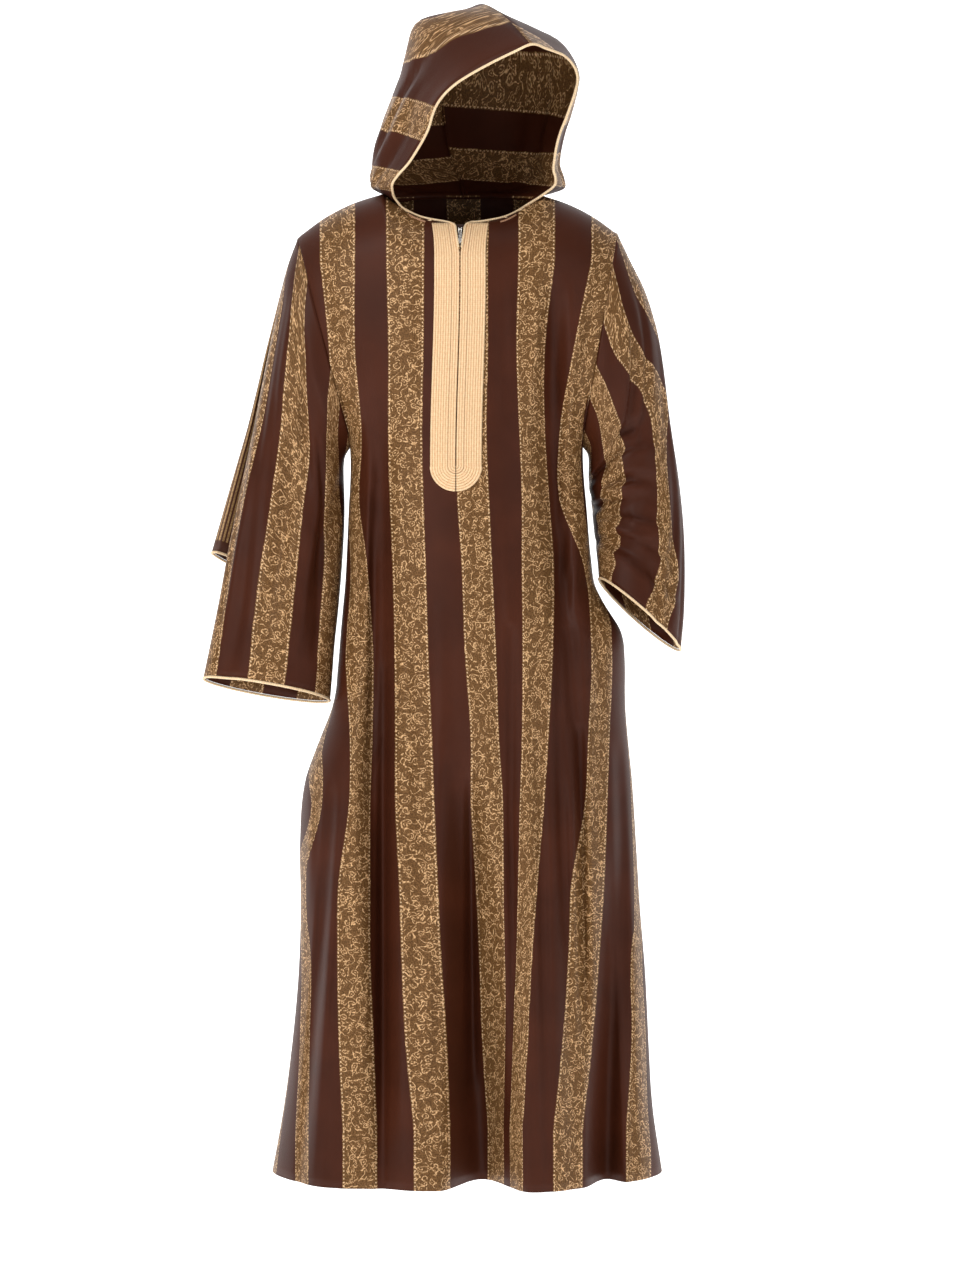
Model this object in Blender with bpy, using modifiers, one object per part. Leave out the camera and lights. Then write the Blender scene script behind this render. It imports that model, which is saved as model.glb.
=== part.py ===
"""Hooded robe of striped satin, filled out as worn, with nobody inside.

Metres, +Z up, the front towards -Y.  The origin is at the base of the neck, between the
shoulders that carry the robe.  "Right" and "left" are the wearer's own.  A drop is a
distance below the origin.
"""
import math
from collections import namedtuple

import bmesh
import bpy
import numpy as np
from mathutils import Matrix, Vector

# Cloth and trims
WALL = 0.002
SEAM_GAP = 0.0003
PIPING_RADIUS = 0.002
THIN_PIPING_RADIUS = 0.0014
PIPING_GAP = 0.0005
THIN_PIPING_GAP = 0.0009
NECK_PIPING_SHARE = 0.2
CORNER_SHARE = 0.2
TOUCH = 1e-6

# Shoulders, armholes and neckline
SHOULDER_POINT = {"right": (-0.241, -0.057), "left": (0.234, -0.050)}
UNDERARM_X = {"right": -0.160, "left": 0.180}
UNDERARM_DROP = 0.365
ARMHOLE_DEPTH = 0.085
SHOULDER_ROUND = 0.100
NECK_X = 0.004
NECK_HALF_WIDTH = 0.118
NECK_DEPTH = {"front": 0.100, "back": 0.072}
HEM_DROP = 1.445
ARMHOLE_START = 0.02
EDGE_RATIO = 0.999
NECK_REACH_LIMIT = 0.97
NECK_DROP = 0.03

# Front slit, placket and zip
PLACKET_X = 0.001
PLACKET_HALF_WIDTH = 0.0375
PLACKET_BOTTOM_DROP = 0.441
BRAIDS = 7
BRAID_VALLEY = 0.0014
BRAID_CREST = 0.0026
PLACKET_LIFT = 0.0005
ROW_MARGIN = 0.006
SLIT_STEP = 0.009
SLIT_TOP_HALF_WIDTH = 0.0148
SLIT_DROP = 0.098
ZIP_TAPE_HALF_WIDTH = 0.009
ZIP_TAPE_THICKNESS = 0.001
ZIP_TAPE_SETBACK = 0.0012
SLIDER_SIZE = (0.0060, 0.0052, 0.0090)
SLIDER_SLOT = (0.0042, 0.0030)
SLIDER_DROP = 0.061
PULL_LENGTH = 0.029
PULL_NECK_WIDTH = 0.0036
PULL_WIDTH = 0.0048
PULL_THICKNESS = 0.0012
PULL_AXIS_CLEARANCE = 0.0015
PULL_TIP_HEIGHT = 0.0068
PULL_TIP_SHARE = 0.8
PULL_NECK_SHARE = 0.8
PULL_TOP = 0.0007
PULL_TAPER = 0.0015
PULL_CORNER = 0.0012

# Pocket slit in the left side seam
POCKET_DROP = 0.607
POCKET_HALF_LENGTH = 0.080
POCKET_ANGLE = 0.16

# Mesh steps
YOKE_ROWS = 8
SKIRT_DROPS = (0.405, 0.45, 0.495, 0.54, 0.575, 0.607, 0.64, 0.68, 0.73, 0.79, 0.86, 0.94, 1.02,
               1.10, 1.19, 1.28, 1.365, HEM_DROP)
HOOD_ROWS = 15
SHOULDER_STEPS = {"front": 10, "back": 8}
NECK_STEPS = {"front": (0.17, 0.33, 0.48, 0.62, 0.74, 0.84, 0.93, 1.0),
              "back": (0.15, 0.30, 0.45, 0.60, 0.74, 0.86, 0.95, 1.0)}
HOOD_CORNER_STEP = 5
PLACKET_ARC_STEPS = 5


def table(names, rows):
    """Named columns of a table; the first one is the place along the piece."""
    return dict(zip(names.split(), np.array(rows, float).T))


def curve(rows, column, at):
    """A column's value on a smooth curve between the rows of its table."""
    keys = next(iter(rows.values()))
    values = rows[column]
    slopes = np.gradient(values, keys)
    at = min(max(at, keys[0]), keys[-1])
    i = min(int(np.searchsorted(keys, at, side="right")) - 1, len(keys) - 2)
    step = keys[i + 1] - keys[i]
    t = (at - keys[i]) / step
    start = values[i] * (1 + 2 * t) * (1 - t) ** 2 + slopes[i] * step * t * (1 - t) ** 2
    end = values[i + 1] * t * t * (3 - 2 * t) - slopes[i + 1] * step * t * t * (1 - t)
    return start + end


# The body's outline from the front (its two sides) and from the side (front and back)
BODY = table("drop right_x left_x front back", (
    (0.000, -0.241, 0.234, 0.130, 0.112),
    (0.150, -0.205, 0.206, 0.134, 0.118),
    (0.365, -0.160, 0.180, 0.138, 0.120),
    (0.450, -0.165, 0.188, 0.141, 0.119),
    (0.540, -0.169, 0.196, 0.146, 0.121),
    (0.575, -0.171, 0.201, 0.148, 0.123),
    (0.607, -0.174, 0.217, 0.150, 0.125),
    (0.640, -0.177, 0.238, 0.152, 0.128),
    (0.700, -0.182, 0.246, 0.155, 0.133),
    (0.745, -0.187, 0.246, 0.158, 0.137),
    (0.800, -0.207, 0.250, 0.162, 0.142),
    (0.860, -0.229, 0.256, 0.166, 0.147),
    (0.950, -0.238, 0.262, 0.172, 0.155),
    (1.050, -0.237, 0.268, 0.178, 0.165),
    (1.150, -0.240, 0.276, 0.185, 0.176),
    (1.250, -0.249, 0.281, 0.191, 0.187),
    (1.350, -0.262, 0.287, 0.197, 0.197),
    (1.445, -0.279, 0.301, 0.203, 0.207),
))

SHOULDER_LINE = table("out z", (
    (0.00, 0.016), (0.10, 0.010), (0.13, 0.003), (0.165, -0.009), (0.20, -0.027), (0.242, -0.057),
))

NECKLINE = table("out front back", (
    (0.00, -0.048, 0.018), (0.30, -0.044, 0.018), (0.62, -0.032, 0.015),
    (0.84, -0.013, 0.012), (0.95, 0.000, 0.009), (1.00, 0.006, 0.006),
))

# Hanging folds: troughs pressed straight in, each followed down the cloth
SEAM_FADE = 0.12
FOLD_COLUMNS = "drop x width depth"
FOLDS = {
    "front": (
        table(FOLD_COLUMNS, (   # over the right thigh
            (0.33, -0.118, 0.020, 0.000), (0.42, -0.113, 0.024, 0.014), (0.54, -0.116, 0.028, 0.026),
            (0.70, -0.114, 0.034, 0.036), (0.90, -0.117, 0.038, 0.044), (1.12, -0.113, 0.036, 0.040),
            (1.28, -0.108, 0.034, 0.028), (1.445, -0.102, 0.032, 0.008))),
        table(FOLD_COLUMNS, (   # from the chest to the left hip
            (0.11, 0.141, 0.026, 0.000), (0.20, 0.138, 0.028, 0.020), (0.35, 0.134, 0.032, 0.036),
            (0.45, 0.138, 0.030, 0.038), (0.54, 0.144, 0.028, 0.030), (0.67, 0.158, 0.026, 0.018),
            (0.80, 0.166, 0.024, 0.008), (0.90, 0.168, 0.024, 0.000))),
        table(FOLD_COLUMNS, (   # recess between the legs
            (0.76, 0.006, 0.036, 0.000), (0.88, 0.010, 0.042, 0.020), (1.00, 0.014, 0.050, 0.045),
            (1.12, 0.020, 0.058, 0.068), (1.28, 0.026, 0.064, 0.090), (1.445, 0.033, 0.068, 0.112))),
        table(FOLD_COLUMNS, (   # outside the left leg
            (0.96, 0.224, 0.026, 0.000), (1.05, 0.222, 0.028, 0.020), (1.15, 0.222, 0.030, 0.034),
            (1.28, 0.216, 0.034, 0.044), (1.445, 0.213, 0.036, 0.056))),
        table(FOLD_COLUMNS, (   # lobe pushed forward by the left knee
            (0.84, 0.135, 0.070, 0.000), (1.00, 0.132, 0.072, -0.012), (1.20, 0.128, 0.074, -0.020),
            (1.445, 0.126, 0.076, -0.020))),
        table(FOLD_COLUMNS, (   # lobe in front of the right foot
            (0.80, -0.185, 0.060, 0.000), (1.05, -0.190, 0.066, -0.010), (1.445, -0.195, 0.076, -0.022))),
    ),
    "back": (
        table(FOLD_COLUMNS, (
            (0.30, -0.118, 0.030, 0.000), (0.60, -0.122, 0.034, 0.016), (1.00, -0.150, 0.040, 0.026),
            (1.445, -0.172, 0.044, 0.044))),
        table(FOLD_COLUMNS, (
            (0.46, -0.052, 0.032, 0.000), (0.80, -0.060, 0.038, 0.018), (1.20, -0.072, 0.046, 0.040),
            (1.445, -0.080, 0.050, 0.060))),
        table(FOLD_COLUMNS, (
            (0.20, 0.006, 0.026, 0.000), (0.50, 0.010, 0.032, 0.014), (0.90, 0.014, 0.038, 0.020),
            (1.445, 0.022, 0.040, 0.030))),
        table(FOLD_COLUMNS, (
            (0.40, 0.088, 0.030, 0.000), (0.75, 0.096, 0.038, 0.022), (1.15, 0.112, 0.044, 0.038),
            (1.445, 0.124, 0.050, 0.056))),
        table(FOLD_COLUMNS, (
            (0.70, 0.186, 0.028, 0.000), (1.05, 0.196, 0.034, 0.022), (1.445, 0.212, 0.040, 0.044))),
    ),
}

# Sleeve rings: the outer and inner ends seen from the front, and the ring's depth
SLEEVE_COLUMNS = "row outer_x outer_z inner_x inner_z half_depth centre_y tilt"
SLEEVES = {
    "right": table(SLEEVE_COLUMNS, (
        (0, -0.241, -0.057, -0.160, -0.365, 0.085, 0.000, 0.000),
        (1, -0.258, -0.104, -0.170, -0.380, 0.086, 0.000, 0.000),
        (2, -0.270, -0.157, -0.173, -0.395, 0.085, 0.002, 0.000),
        (3, -0.283, -0.216, -0.173, -0.417, 0.083, 0.003, 0.000),
        (4, -0.295, -0.276, -0.172, -0.447, 0.081, 0.003, 0.001),
        (5, -0.306, -0.334, -0.172, -0.477, 0.078, 0.002, 0.002),
        (6, -0.319, -0.395, -0.174, -0.521, 0.074, 0.000, 0.003),
        (7, -0.331, -0.455, -0.177, -0.566, 0.070, -0.004, 0.004),
        (8, -0.344, -0.521, -0.181, -0.614, 0.066, -0.010, 0.006),
        (9, -0.356, -0.590, -0.186, -0.663, 0.062, -0.016, 0.008),
        (10, -0.368, -0.652, -0.189, -0.705, 0.059, -0.020, 0.010),
        (11, -0.380, -0.711, -0.192, -0.743, 0.057, -0.024, 0.011))),
    "left": table(SLEEVE_COLUMNS, (
        (0, 0.234, -0.050, 0.180, -0.365, 0.085, 0.000, 0.000),
        (1, 0.254, -0.092, 0.190, -0.378, 0.087, 0.000, 0.000),
        (2, 0.275, -0.134, 0.192, -0.390, 0.086, 0.003, 0.000),
        (3, 0.290, -0.179, 0.192, -0.402, 0.084, 0.007, 0.000),
        (4, 0.299, -0.224, 0.192, -0.414, 0.082, 0.011, 0.000),
        (5, 0.306, -0.276, 0.193, -0.428, 0.080, 0.016, 0.001),
        (6, 0.313, -0.328, 0.195, -0.443, 0.080, 0.020, 0.002),
        (7, 0.322, -0.380, 0.197, -0.460, 0.080, 0.020, 0.003),
        (8, 0.329, -0.432, 0.199, -0.479, 0.080, 0.016, 0.004),
        (9, 0.334, -0.492, 0.201, -0.500, 0.078, 0.008, 0.005),
        (10, 0.335, -0.551, 0.203, -0.522, 0.075, -0.004, 0.007),
        (11, 0.333, -0.615, 0.205, -0.544, 0.072, -0.016, 0.009),
        (12, 0.328, -0.668, 0.206, -0.563, 0.070, -0.024, 0.010))),
}

# Creases across the sleeves, from one angle and row to another
CREASE_COLUMNS = "angle row end_angle end_row width depth"
SLEEVE_CREASES = {
    "right": table(CREASE_COLUMNS, (
        (100, 2.0, 75, 9.0, 0.030, 0.012),
        (62, 4.0, 48, 11.5, 0.028, 0.010),
        (-70, 2.5, -95, 10.5, 0.030, 0.012),
        (165, 3.0, 120, 8.5, 0.026, 0.009))),
    "left": table(CREASE_COLUMNS, (
        (-170, 4.5, -75, 6.0, 0.028, 0.015),
        (-172, 7.0, -62, 8.2, 0.028, 0.018),
        (-168, 9.4, -70, 10.4, 0.026, 0.014),
        (170, 6.0, 95, 7.0, 0.030, 0.013),
        (-60, 2.5, -88, 5.2, 0.026, 0.009),
        (160, 9.5, 60, 10.2, 0.030, 0.010))),
}

# Rough size of one degree round a sleeve and of one row down it
SLEEVE_DEGREE = 0.0013
SLEEVE_ROW = 0.045
CREASE_END = 0.35
CREASE_FADE_ROWS = 1.5

# The over-sleeve stands off the right sleeve: its front leg and its back leg
OVER_SLEEVE = table("row front_offset back_offset", (
    (1, 0.0005, 0.0110), (2, 0.0020, 0.0120), (3, 0.0030, 0.0145), (4, 0.0036, 0.0175),
    (5, 0.0045, 0.0220), (6, 0.0060, 0.0280), (7, 0.0080, 0.0350), (8, 0.0105, 0.0430),
))
OVER_SLEEVE_ANGLE_STEP = 6
OVER_SLEEVE_ROW_STEP = 0.2
OVER_SLEEVE_PATH = table("angle back_share", (
    (-112.5, 0), (-90, 0), (-67.5, 0), (-45, 0), (-31, 0.04), (-22, 0.26), (-18, 0.50), (-20, 0.76),
    (-29, 0.97), (-45, 1), (-67.5, 1), (-90, 1), (-112.5, 1),
))

# Hood halves: where each level meets the face edge, the side and the rear
HOOD_COLUMNS = "rise edge_x edge_y edge_z side_x side_y side_z rear_x rear_y rear_z"
HOOD_SIDES = {
    "right": table(HOOD_COLUMNS, (
        (0.12, -0.101, -0.084, 0.010, -0.131, -0.020, 0.014, -0.095, 0.062, 0.028),
        (0.28, -0.074, -0.110, 0.042, -0.130, -0.016, 0.054, -0.104, 0.078, 0.070),
        (0.44, -0.049, -0.122, 0.082, -0.119, -0.010, 0.098, -0.105, 0.086, 0.116),
        (0.60, -0.034, -0.128, 0.122, -0.098, -0.010, 0.143, -0.094, 0.086, 0.160),
        (0.75, -0.004, -0.141, 0.152, -0.079, -0.012, 0.190, -0.078, 0.078, 0.203),
        (0.89, 0.053, -0.160, 0.182, -0.047, -0.018, 0.267, -0.048, 0.062, 0.265))),
    "left": table(HOOD_COLUMNS, (
        (0.12, 0.139, -0.064, 0.010, 0.154, 0.000, 0.016, 0.104, 0.074, 0.030),
        (0.28, 0.139, -0.071, 0.038, 0.147, 0.006, 0.056, 0.092, 0.092, 0.072),
        (0.44, 0.146, -0.075, 0.080, 0.153, 0.010, 0.098, 0.090, 0.098, 0.118),
        (0.60, 0.163, -0.079, 0.126, 0.166, 0.008, 0.144, 0.092, 0.098, 0.162),
        (0.75, 0.173, -0.087, 0.170, 0.170, 0.000, 0.190, 0.090, 0.092, 0.206),
        (0.89, 0.150, -0.116, 0.197, 0.138, -0.012, 0.240, 0.074, 0.078, 0.246))),
}
HOOD_BACK = table("rise x y z", (
    (0.12, 0.000, 0.092, 0.040), (0.28, -0.016, 0.112, 0.084), (0.44, -0.024, 0.124, 0.130),
    (0.60, -0.028, 0.128, 0.172), (0.75, -0.026, 0.124, 0.214), (0.89, -0.018, 0.110, 0.258),
    (1.00, -0.008, 0.092, 0.278),
))
HOOD_TOP = table("along x y z", (
    (0.00, 0.102, -0.170, 0.203), (0.30, 0.066, -0.088, 0.257), (0.62, 0.030, 0.000, 0.292),
    (1.00, -0.008, 0.092, 0.278),
))
HOOD_SIDEWAYS = Vector((0.934, 0.358, 0.0))

Column = namedtuple("Column", "spread top_z start")


def clear_scene():
    """Take away whatever the file holds."""
    for thing in list(bpy.data.objects):
        bpy.data.objects.remove(thing, do_unlink=True)


def new_collection(name):
    """A collection of that name in the scene."""
    collection = bpy.data.collections.new(name)
    bpy.context.scene.collection.children.link(collection)
    return collection


def material(name, colour, roughness, metallic=0.0):
    """A plain finish."""
    finish = bpy.data.materials.new(name)
    finish.use_nodes = True
    shader = finish.node_tree.nodes["Principled BSDF"]
    shader.inputs["Base Color"].default_value = (*colour, 1.0)
    shader.inputs["Roughness"].default_value = roughness
    shader.inputs["Metallic"].default_value = metallic
    return finish


def bell(t):
    """One in the middle, falling softly to nought at one and beyond."""
    return 0.5 + 0.5 * math.cos(math.pi * t) if abs(t) < 1 else 0.0


def unit(vectors):
    """Vectors at length one."""
    return vectors / np.linalg.norm(vectors, axis=-1, keepdims=True)


def grid_normals(grid, closed, outward):
    """Outward normals of a grid of points, from its neighbours in both directions."""
    along = np.gradient(grid, axis=0)
    if closed:
        across = np.roll(grid, -1, axis=1) - np.roll(grid, 1, axis=1)
    else:
        across = np.gradient(grid, axis=1)
    return outward * unit(np.cross(along, across))


def add_object(name, mesh, finish):
    """An object for a mesh, in the robe's collection, with its finish."""
    thing = bpy.data.objects.new(name, mesh)
    thing.data.materials.append(finish)
    ROBE.objects.link(thing)
    return thing


def add_wall(name, outer, inner, finish, closed=False):
    """A cloth wall between two grids of points, its rims closed."""
    rows, columns = outer.shape[:2]
    shell = bmesh.new()
    faces = [[[shell.verts.new(point) for point in row] for row in grid] for grid in (outer, inner)]
    spans = columns if closed else columns - 1
    for grid in faces:
        for i in range(rows - 1):
            for j in range(spans):
                k = (j + 1) % columns
                shell.faces.new((grid[i][j], grid[i + 1][j], grid[i + 1][k], grid[i][k]))
    rims = [[(i, j) for j in range(columns)] + ([(i, 0)] if closed else []) for i in (0, rows - 1)]
    if not closed:
        rims += [[(i, j) for i in range(rows)] for j in (0, columns - 1)]
    for rim in rims:
        for (a, b), (c, d) in zip(rim, rim[1:]):
            shell.faces.new((faces[0][a][b], faces[0][c][d], faces[1][c][d], faces[1][a][b]))
    bmesh.ops.recalc_face_normals(shell, faces=shell.faces)
    mesh = bpy.data.meshes.new(name)
    shell.to_mesh(mesh)
    shell.free()
    mesh.shade_smooth()
    return add_object(name, mesh, finish)


def add_tube(name, points, radius, finish, cyclic=False):
    """A round cord through points."""
    path = bpy.data.curves.new(name, "CURVE")
    path.dimensions = "3D"
    path.bevel_depth = radius
    path.bevel_resolution = 2
    path.use_fill_caps = not cyclic
    spline = path.splines.new("POLY")
    spline.points.add(len(points) - 1)
    for knot, point in zip(spline.points, points):
        knot.co = (*point, 1.0)
    spline.use_cyclic_u = cyclic
    return add_object(name, path, finish)


# Front and back panels


def armhole_fall(s):
    """How far down the armhole its edge is, as s goes from the shoulder to the underarm."""
    return 0.5 - 0.5 * math.cos(math.pi * s)


def round_over(drop):
    """How far the cloth has come out over the rounded shoulder."""
    return math.sqrt(1 - (1 - min(max(drop, 0) / SHOULDER_ROUND, 1)) ** 2)


def edge_angle(side, face, s):
    """Angle round the body at which a panel ends at the armhole."""
    s = min(max(s, ARMHOLE_START), 1)
    fall = armhole_fall(s)
    depth = curve(BODY, face, UNDERARM_DROP * fall)
    depth *= round_over((SHOULDER_POINT[side][1] + UNDERARM_DROP) * fall)
    return math.acos(min(ARMHOLE_DEPTH * math.sin(math.pi * s) / depth, 1))


def yoke_sides(fall):
    """The two armhole edges' x, straight from the shoulder point to the underarm."""
    return [SHOULDER_POINT[side][0] * (1 - fall) + UNDERARM_X[side] * fall for side in ("right", "left")]


def panel_column(face, x):
    """The column of a panel that starts at x on its shoulder seam or neckline."""
    right_x, left_x = yoke_sides(0)
    side = "left" if x > (right_x + left_x) / 2 else "right"
    limit = edge_angle(side, face, 0)
    ratio = (2 * x - right_x - left_x) / (left_x - right_x)
    spread = math.asin(max(-1, min(1, ratio)) * math.sin(limit)) / limit
    out = abs(x - NECK_X) / NECK_HALF_WIDTH
    if out >= 1:
        top = SHOULDER_POINT[side][1] if abs(ratio) > EDGE_RATIO else curve(SHOULDER_LINE, "z", abs(x))
        return Column(spread, top, 0)
    reach = NECK_DEPTH[face] * math.sqrt(1 - out * out)
    reach = min(reach / (curve(BODY, face, NECK_DROP) * math.cos(spread * limit)), NECK_REACH_LIMIT)
    above = SHOULDER_ROUND * (1 - math.sqrt(1 - reach ** 2))
    top = curve(NECKLINE, face, out) + above
    return Column(spread, top, math.acos(1 - 2 * above / (top + UNDERARM_DROP)) / math.pi)


def fold_depth(face, x, drop):
    """How far the folds press a panel in at a place."""
    total = 0
    for fold in FOLDS[face]:
        if drop > fold["drop"][0]:
            across = (x - curve(fold, "x", drop)) / curve(fold, "width", drop)
            total += curve(fold, "depth", drop) * bell(across)
    return total


def panel_point(face, column, drop):
    """Point of a panel's outer side on a column, at a drop."""
    side = "left" if column.spread > 0 else "right"
    if drop < UNDERARM_DROP:
        fall = max((column.top_z + drop) / (column.top_z + UNDERARM_DROP), 0)
        right_x, left_x = yoke_sides(fall)
        limit = edge_angle(side, face, math.acos(1 - 2 * fall) / math.pi)
        depth = curve(BODY, face, UNDERARM_DROP * fall) * round_over(column.top_z + drop)
    else:
        right_x = curve(BODY, "right_x", drop)
        left_x = curve(BODY, "left_x", drop)
        depth = curve(BODY, face, drop)
        limit = math.pi / 2
        if side == "left":
            limit -= POCKET_ANGLE * bell((drop - POCKET_DROP) / POCKET_HALF_LENGTH)
    angle = column.spread * limit
    x = (right_x + left_x) / 2 + (left_x - right_x) / 2 * math.sin(angle) / math.sin(limit)
    edge_fade = min(1, (1 - abs(column.spread)) / SEAM_FADE)
    y = depth * math.cos(angle) - fold_depth(face, x, drop) * edge_fade + SEAM_GAP / 2
    return np.array((x, -y if face == "front" else y, -drop))


def column_drops(column):
    """Drops of the rows on a column: the yoke's rows, then the skirt's."""
    drops = []
    for i in range(YOKE_ROWS + 1):
        fall = armhole_fall(column.start + (1 - column.start) * i / YOKE_ROWS)
        drops.append((column.top_z + UNDERARM_DROP) * fall - column.top_z)
    return drops + list(SKIRT_DROPS)


def panel_columns(face):
    """Columns of a panel, from the right armhole to the left one."""
    steps = NECK_STEPS[face]
    neck = [NECK_X + NECK_HALF_WIDTH * step for step in steps]
    neck = [2 * NECK_X - x for x in reversed(neck)] + neck
    columns = [panel_column(face, x) for x in neck]
    if face == "front":
        middle = [panel_column(face, PLACKET_X + x) for x in (-SLIT_STEP, 0, SLIT_STEP)]
    else:
        middle = [panel_column(face, NECK_X)]
    columns[len(steps):len(steps)] = middle
    count = SHOULDER_STEPS[face]
    for side, sign in (("right", -1), ("left", 1)):
        inside = columns[0].spread if side == "right" else columns[-1].spread
        right_x, left_x = yoke_sides(0)
        limit = edge_angle(side, face, 0)
        for i in range(1, count + 1):
            spread = inside + (sign - inside) * i / count
            x = (right_x + left_x) / 2
            x += (left_x - right_x) / 2 * math.sin(spread * limit) / math.sin(limit)
            new = panel_column(face, x)
            columns.insert(0, new) if side == "right" else columns.append(new)
    return columns


def panel_grid(face):
    """Outer points of a panel, its rows going down and its columns to the left."""
    columns = panel_columns(face)
    return np.array([[panel_point(face, column, drop) for column, drop in zip(columns, row)]
                     for row in zip(*[column_drops(column) for column in columns])])


def panel_inner(face, outer):
    """Inner points of a panel; its shoulder and side rims lie square to the seams."""
    normals = grid_normals(outer, False, 1 if face == "front" else -1)
    shoulder = np.abs(outer[0, :, 0] - NECK_X) >= NECK_HALF_WIDTH - TOUCH
    normals[0, shoulder, 1] = 0
    pocket = np.abs(outer[:, -1, 2] + POCKET_DROP) < POCKET_HALF_LENGTH
    normals[YOKE_ROWS:, 0, 1] = 0
    normals[YOKE_ROWS:, -1, 1] *= pocket[YOKE_ROWS:]
    for column, side in ((0, "right"), (-1, "left")):
        out = armhole_plane(side)
        for i in range(YOKE_ROWS):
            crossing = min(float(normals[i, column] @ out), 0)
            normals[i, column] -= crossing * out
    return outer - WALL * unit(normals)


def armhole_plane(side):
    """Unit vector square to the armhole, pointing out along the sleeve."""
    x, z = SHOULDER_POINT[side]
    down = unit(np.array((UNDERARM_X[side] - x, 0, -UNDERARM_DROP - z)))
    out = np.array((-down[2], 0, down[0]))
    return out if side == "left" else -out


# Sleeves


def crease_depth(creases, angle, row):
    """How far the creases press a sleeve in at an angle (degrees) and a row."""
    total = 0
    for a, r, end_a, end_r, width, depth in zip(*creases.values()):
        run = np.array(((end_a - a) * SLEEVE_DEGREE, (end_r - r) * SLEEVE_ROW))
        turn = (angle - a + 180) % 360 - 180
        place = np.array((turn * SLEEVE_DEGREE, (row - r) * SLEEVE_ROW))
        share = min(max(float(place @ run / (run @ run)), 0), 1)
        away = np.linalg.norm(place - share * run) / width
        total += depth * bell(away) * (CREASE_END + (1 - CREASE_END) * math.sin(math.pi * share))
    return total


def sleeve_point(side, angle, row):
    """Point of a sleeve's outer side; angle 0 is its outer edge, in degrees."""
    rings = SLEEVES[side]
    outer = np.array((curve(rings, "outer_x", row), 0, curve(rings, "outer_z", row)))
    inner = np.array((curve(rings, "inner_x", row), 0, curve(rings, "inner_z", row)))
    turn = -1 if side == "right" else 1
    across = math.cos(math.radians(angle))
    round_ = math.sin(math.radians(angle))
    depth = curve(rings, "half_depth", row)
    point = (outer + inner) / 2 + (outer - inner) / 2 * across
    centre = (outer + inner) / 2
    centre[1] = curve(rings, "centre_y", row)
    point[1] = centre[1] + turn * depth * round_
    point[2] -= turn * round_ * curve(rings, "tilt", row)
    fade = min(1, row / CREASE_FADE_ROWS)
    pressed = crease_depth(SLEEVE_CREASES[side], angle, row) * fade
    return point + unit(centre - point) * pressed


def sleeve_grid(side):
    """Outer points of a sleeve, from the armhole down to the cuff."""
    angles = [180 * i / YOKE_ROWS for i in range(2 * YOKE_ROWS)]
    rows = SLEEVES[side]["row"]
    grid = np.array([[sleeve_point(side, angle, row) for angle in angles] for row in rows])
    grid[0] += armhole_plane(side) * SEAM_GAP
    return grid


def sleeve_inner(side, outer):
    """Inner points of a sleeve; its top rim stays on its own side of the armhole."""
    normals = grid_normals(outer, True, 1)
    out = armhole_plane(side)
    for j in range(outer.shape[1]):
        crossing = max(float(normals[0, j] @ out), 0)
        normals[0, j] -= crossing * out
    return outer - WALL * unit(normals)


def over_sleeve_point(angle, back_share, row):
    """Point of the over-sleeve, standing off the right sleeve at an angle and a row."""
    offset = curve(OVER_SLEEVE, "front_offset", row) * (1 - back_share)
    offset += curve(OVER_SLEEVE, "back_offset", row) * back_share
    turn, step = OVER_SLEEVE_ANGLE_STEP, OVER_SLEEVE_ROW_STEP
    across = sleeve_point("right", angle + turn, row) - sleeve_point("right", angle - turn, row)
    down = sleeve_point("right", angle, row + step) - sleeve_point("right", angle, row - step)
    return sleeve_point("right", angle, row) + unit(np.cross(down, across)) * offset


# Hood


def spline_point(knots, t):
    """Point on a smooth curve through knots, t from nought to one."""
    knots = np.asarray(knots)
    rows = {"along": np.linspace(0, 1, len(knots)), "x": knots[:, 0], "y": knots[:, 1], "z": knots[:, 2]}
    return np.array([curve(rows, axis, t) for axis in "xyz"])


def hood_neckline(side, front, back):
    """Neckline points of one side, from the hood's front corner to the centre back."""
    middle = (front.shape[1] - 1) // 2
    steps = len(NECK_STEPS["front"])
    sign = -1 if side == "right" else 1
    front_points = [front[0, middle + sign * (1 + i)] for i in range(HOOD_CORNER_STEP + 1, steps + 1)]
    middle = (back.shape[1] - 1) // 2
    back_steps = len(NECK_STEPS["back"])
    back_points = [back[0, middle + sign * i] for i in range(back_steps - 1, -1, -1)]
    return np.array(front_points + back_points)


def hood_grid(side, neckline):
    """Outer points of a hood half: rows rise from the neckline, columns run to the back."""
    sides = HOOD_SIDES[side]
    last = len(neckline) - 1
    grid = np.zeros((HOOD_ROWS + 1, last + 1, 3))
    for j, low in enumerate(neckline):
        v = j / last
        knots = [low + (0, 0, SEAM_GAP)]
        for rise in sides["rise"]:
            places = [[sides[f"{spot}_{axis}"][list(sides["rise"]).index(rise)] for axis in "xyz"]
                      for spot in ("edge", "side", "rear")]
            places.append([curve(HOOD_BACK, axis, rise) for axis in "xyz"])
            knots.append(spline_point(places, v))
        knots.append([curve(HOOD_TOP, axis, v) for axis in "xyz"])
        knots = np.array(knots)
        rows = {"rise": np.array([0, *sides["rise"], 1]), "x": knots[:, 0], "y": knots[:, 1],
                "z": knots[:, 2]}
        for i in range(HOOD_ROWS + 1):
            grid[i, j] = [curve(rows, axis, i / HOOD_ROWS) for axis in "xyz"]
    shift = np.array(HOOD_SIDEWAYS) * SEAM_GAP / 2 * (-1 if side == "right" else 1)
    grid[-1] += shift
    grid[:-1, -1] += shift
    return grid


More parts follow.
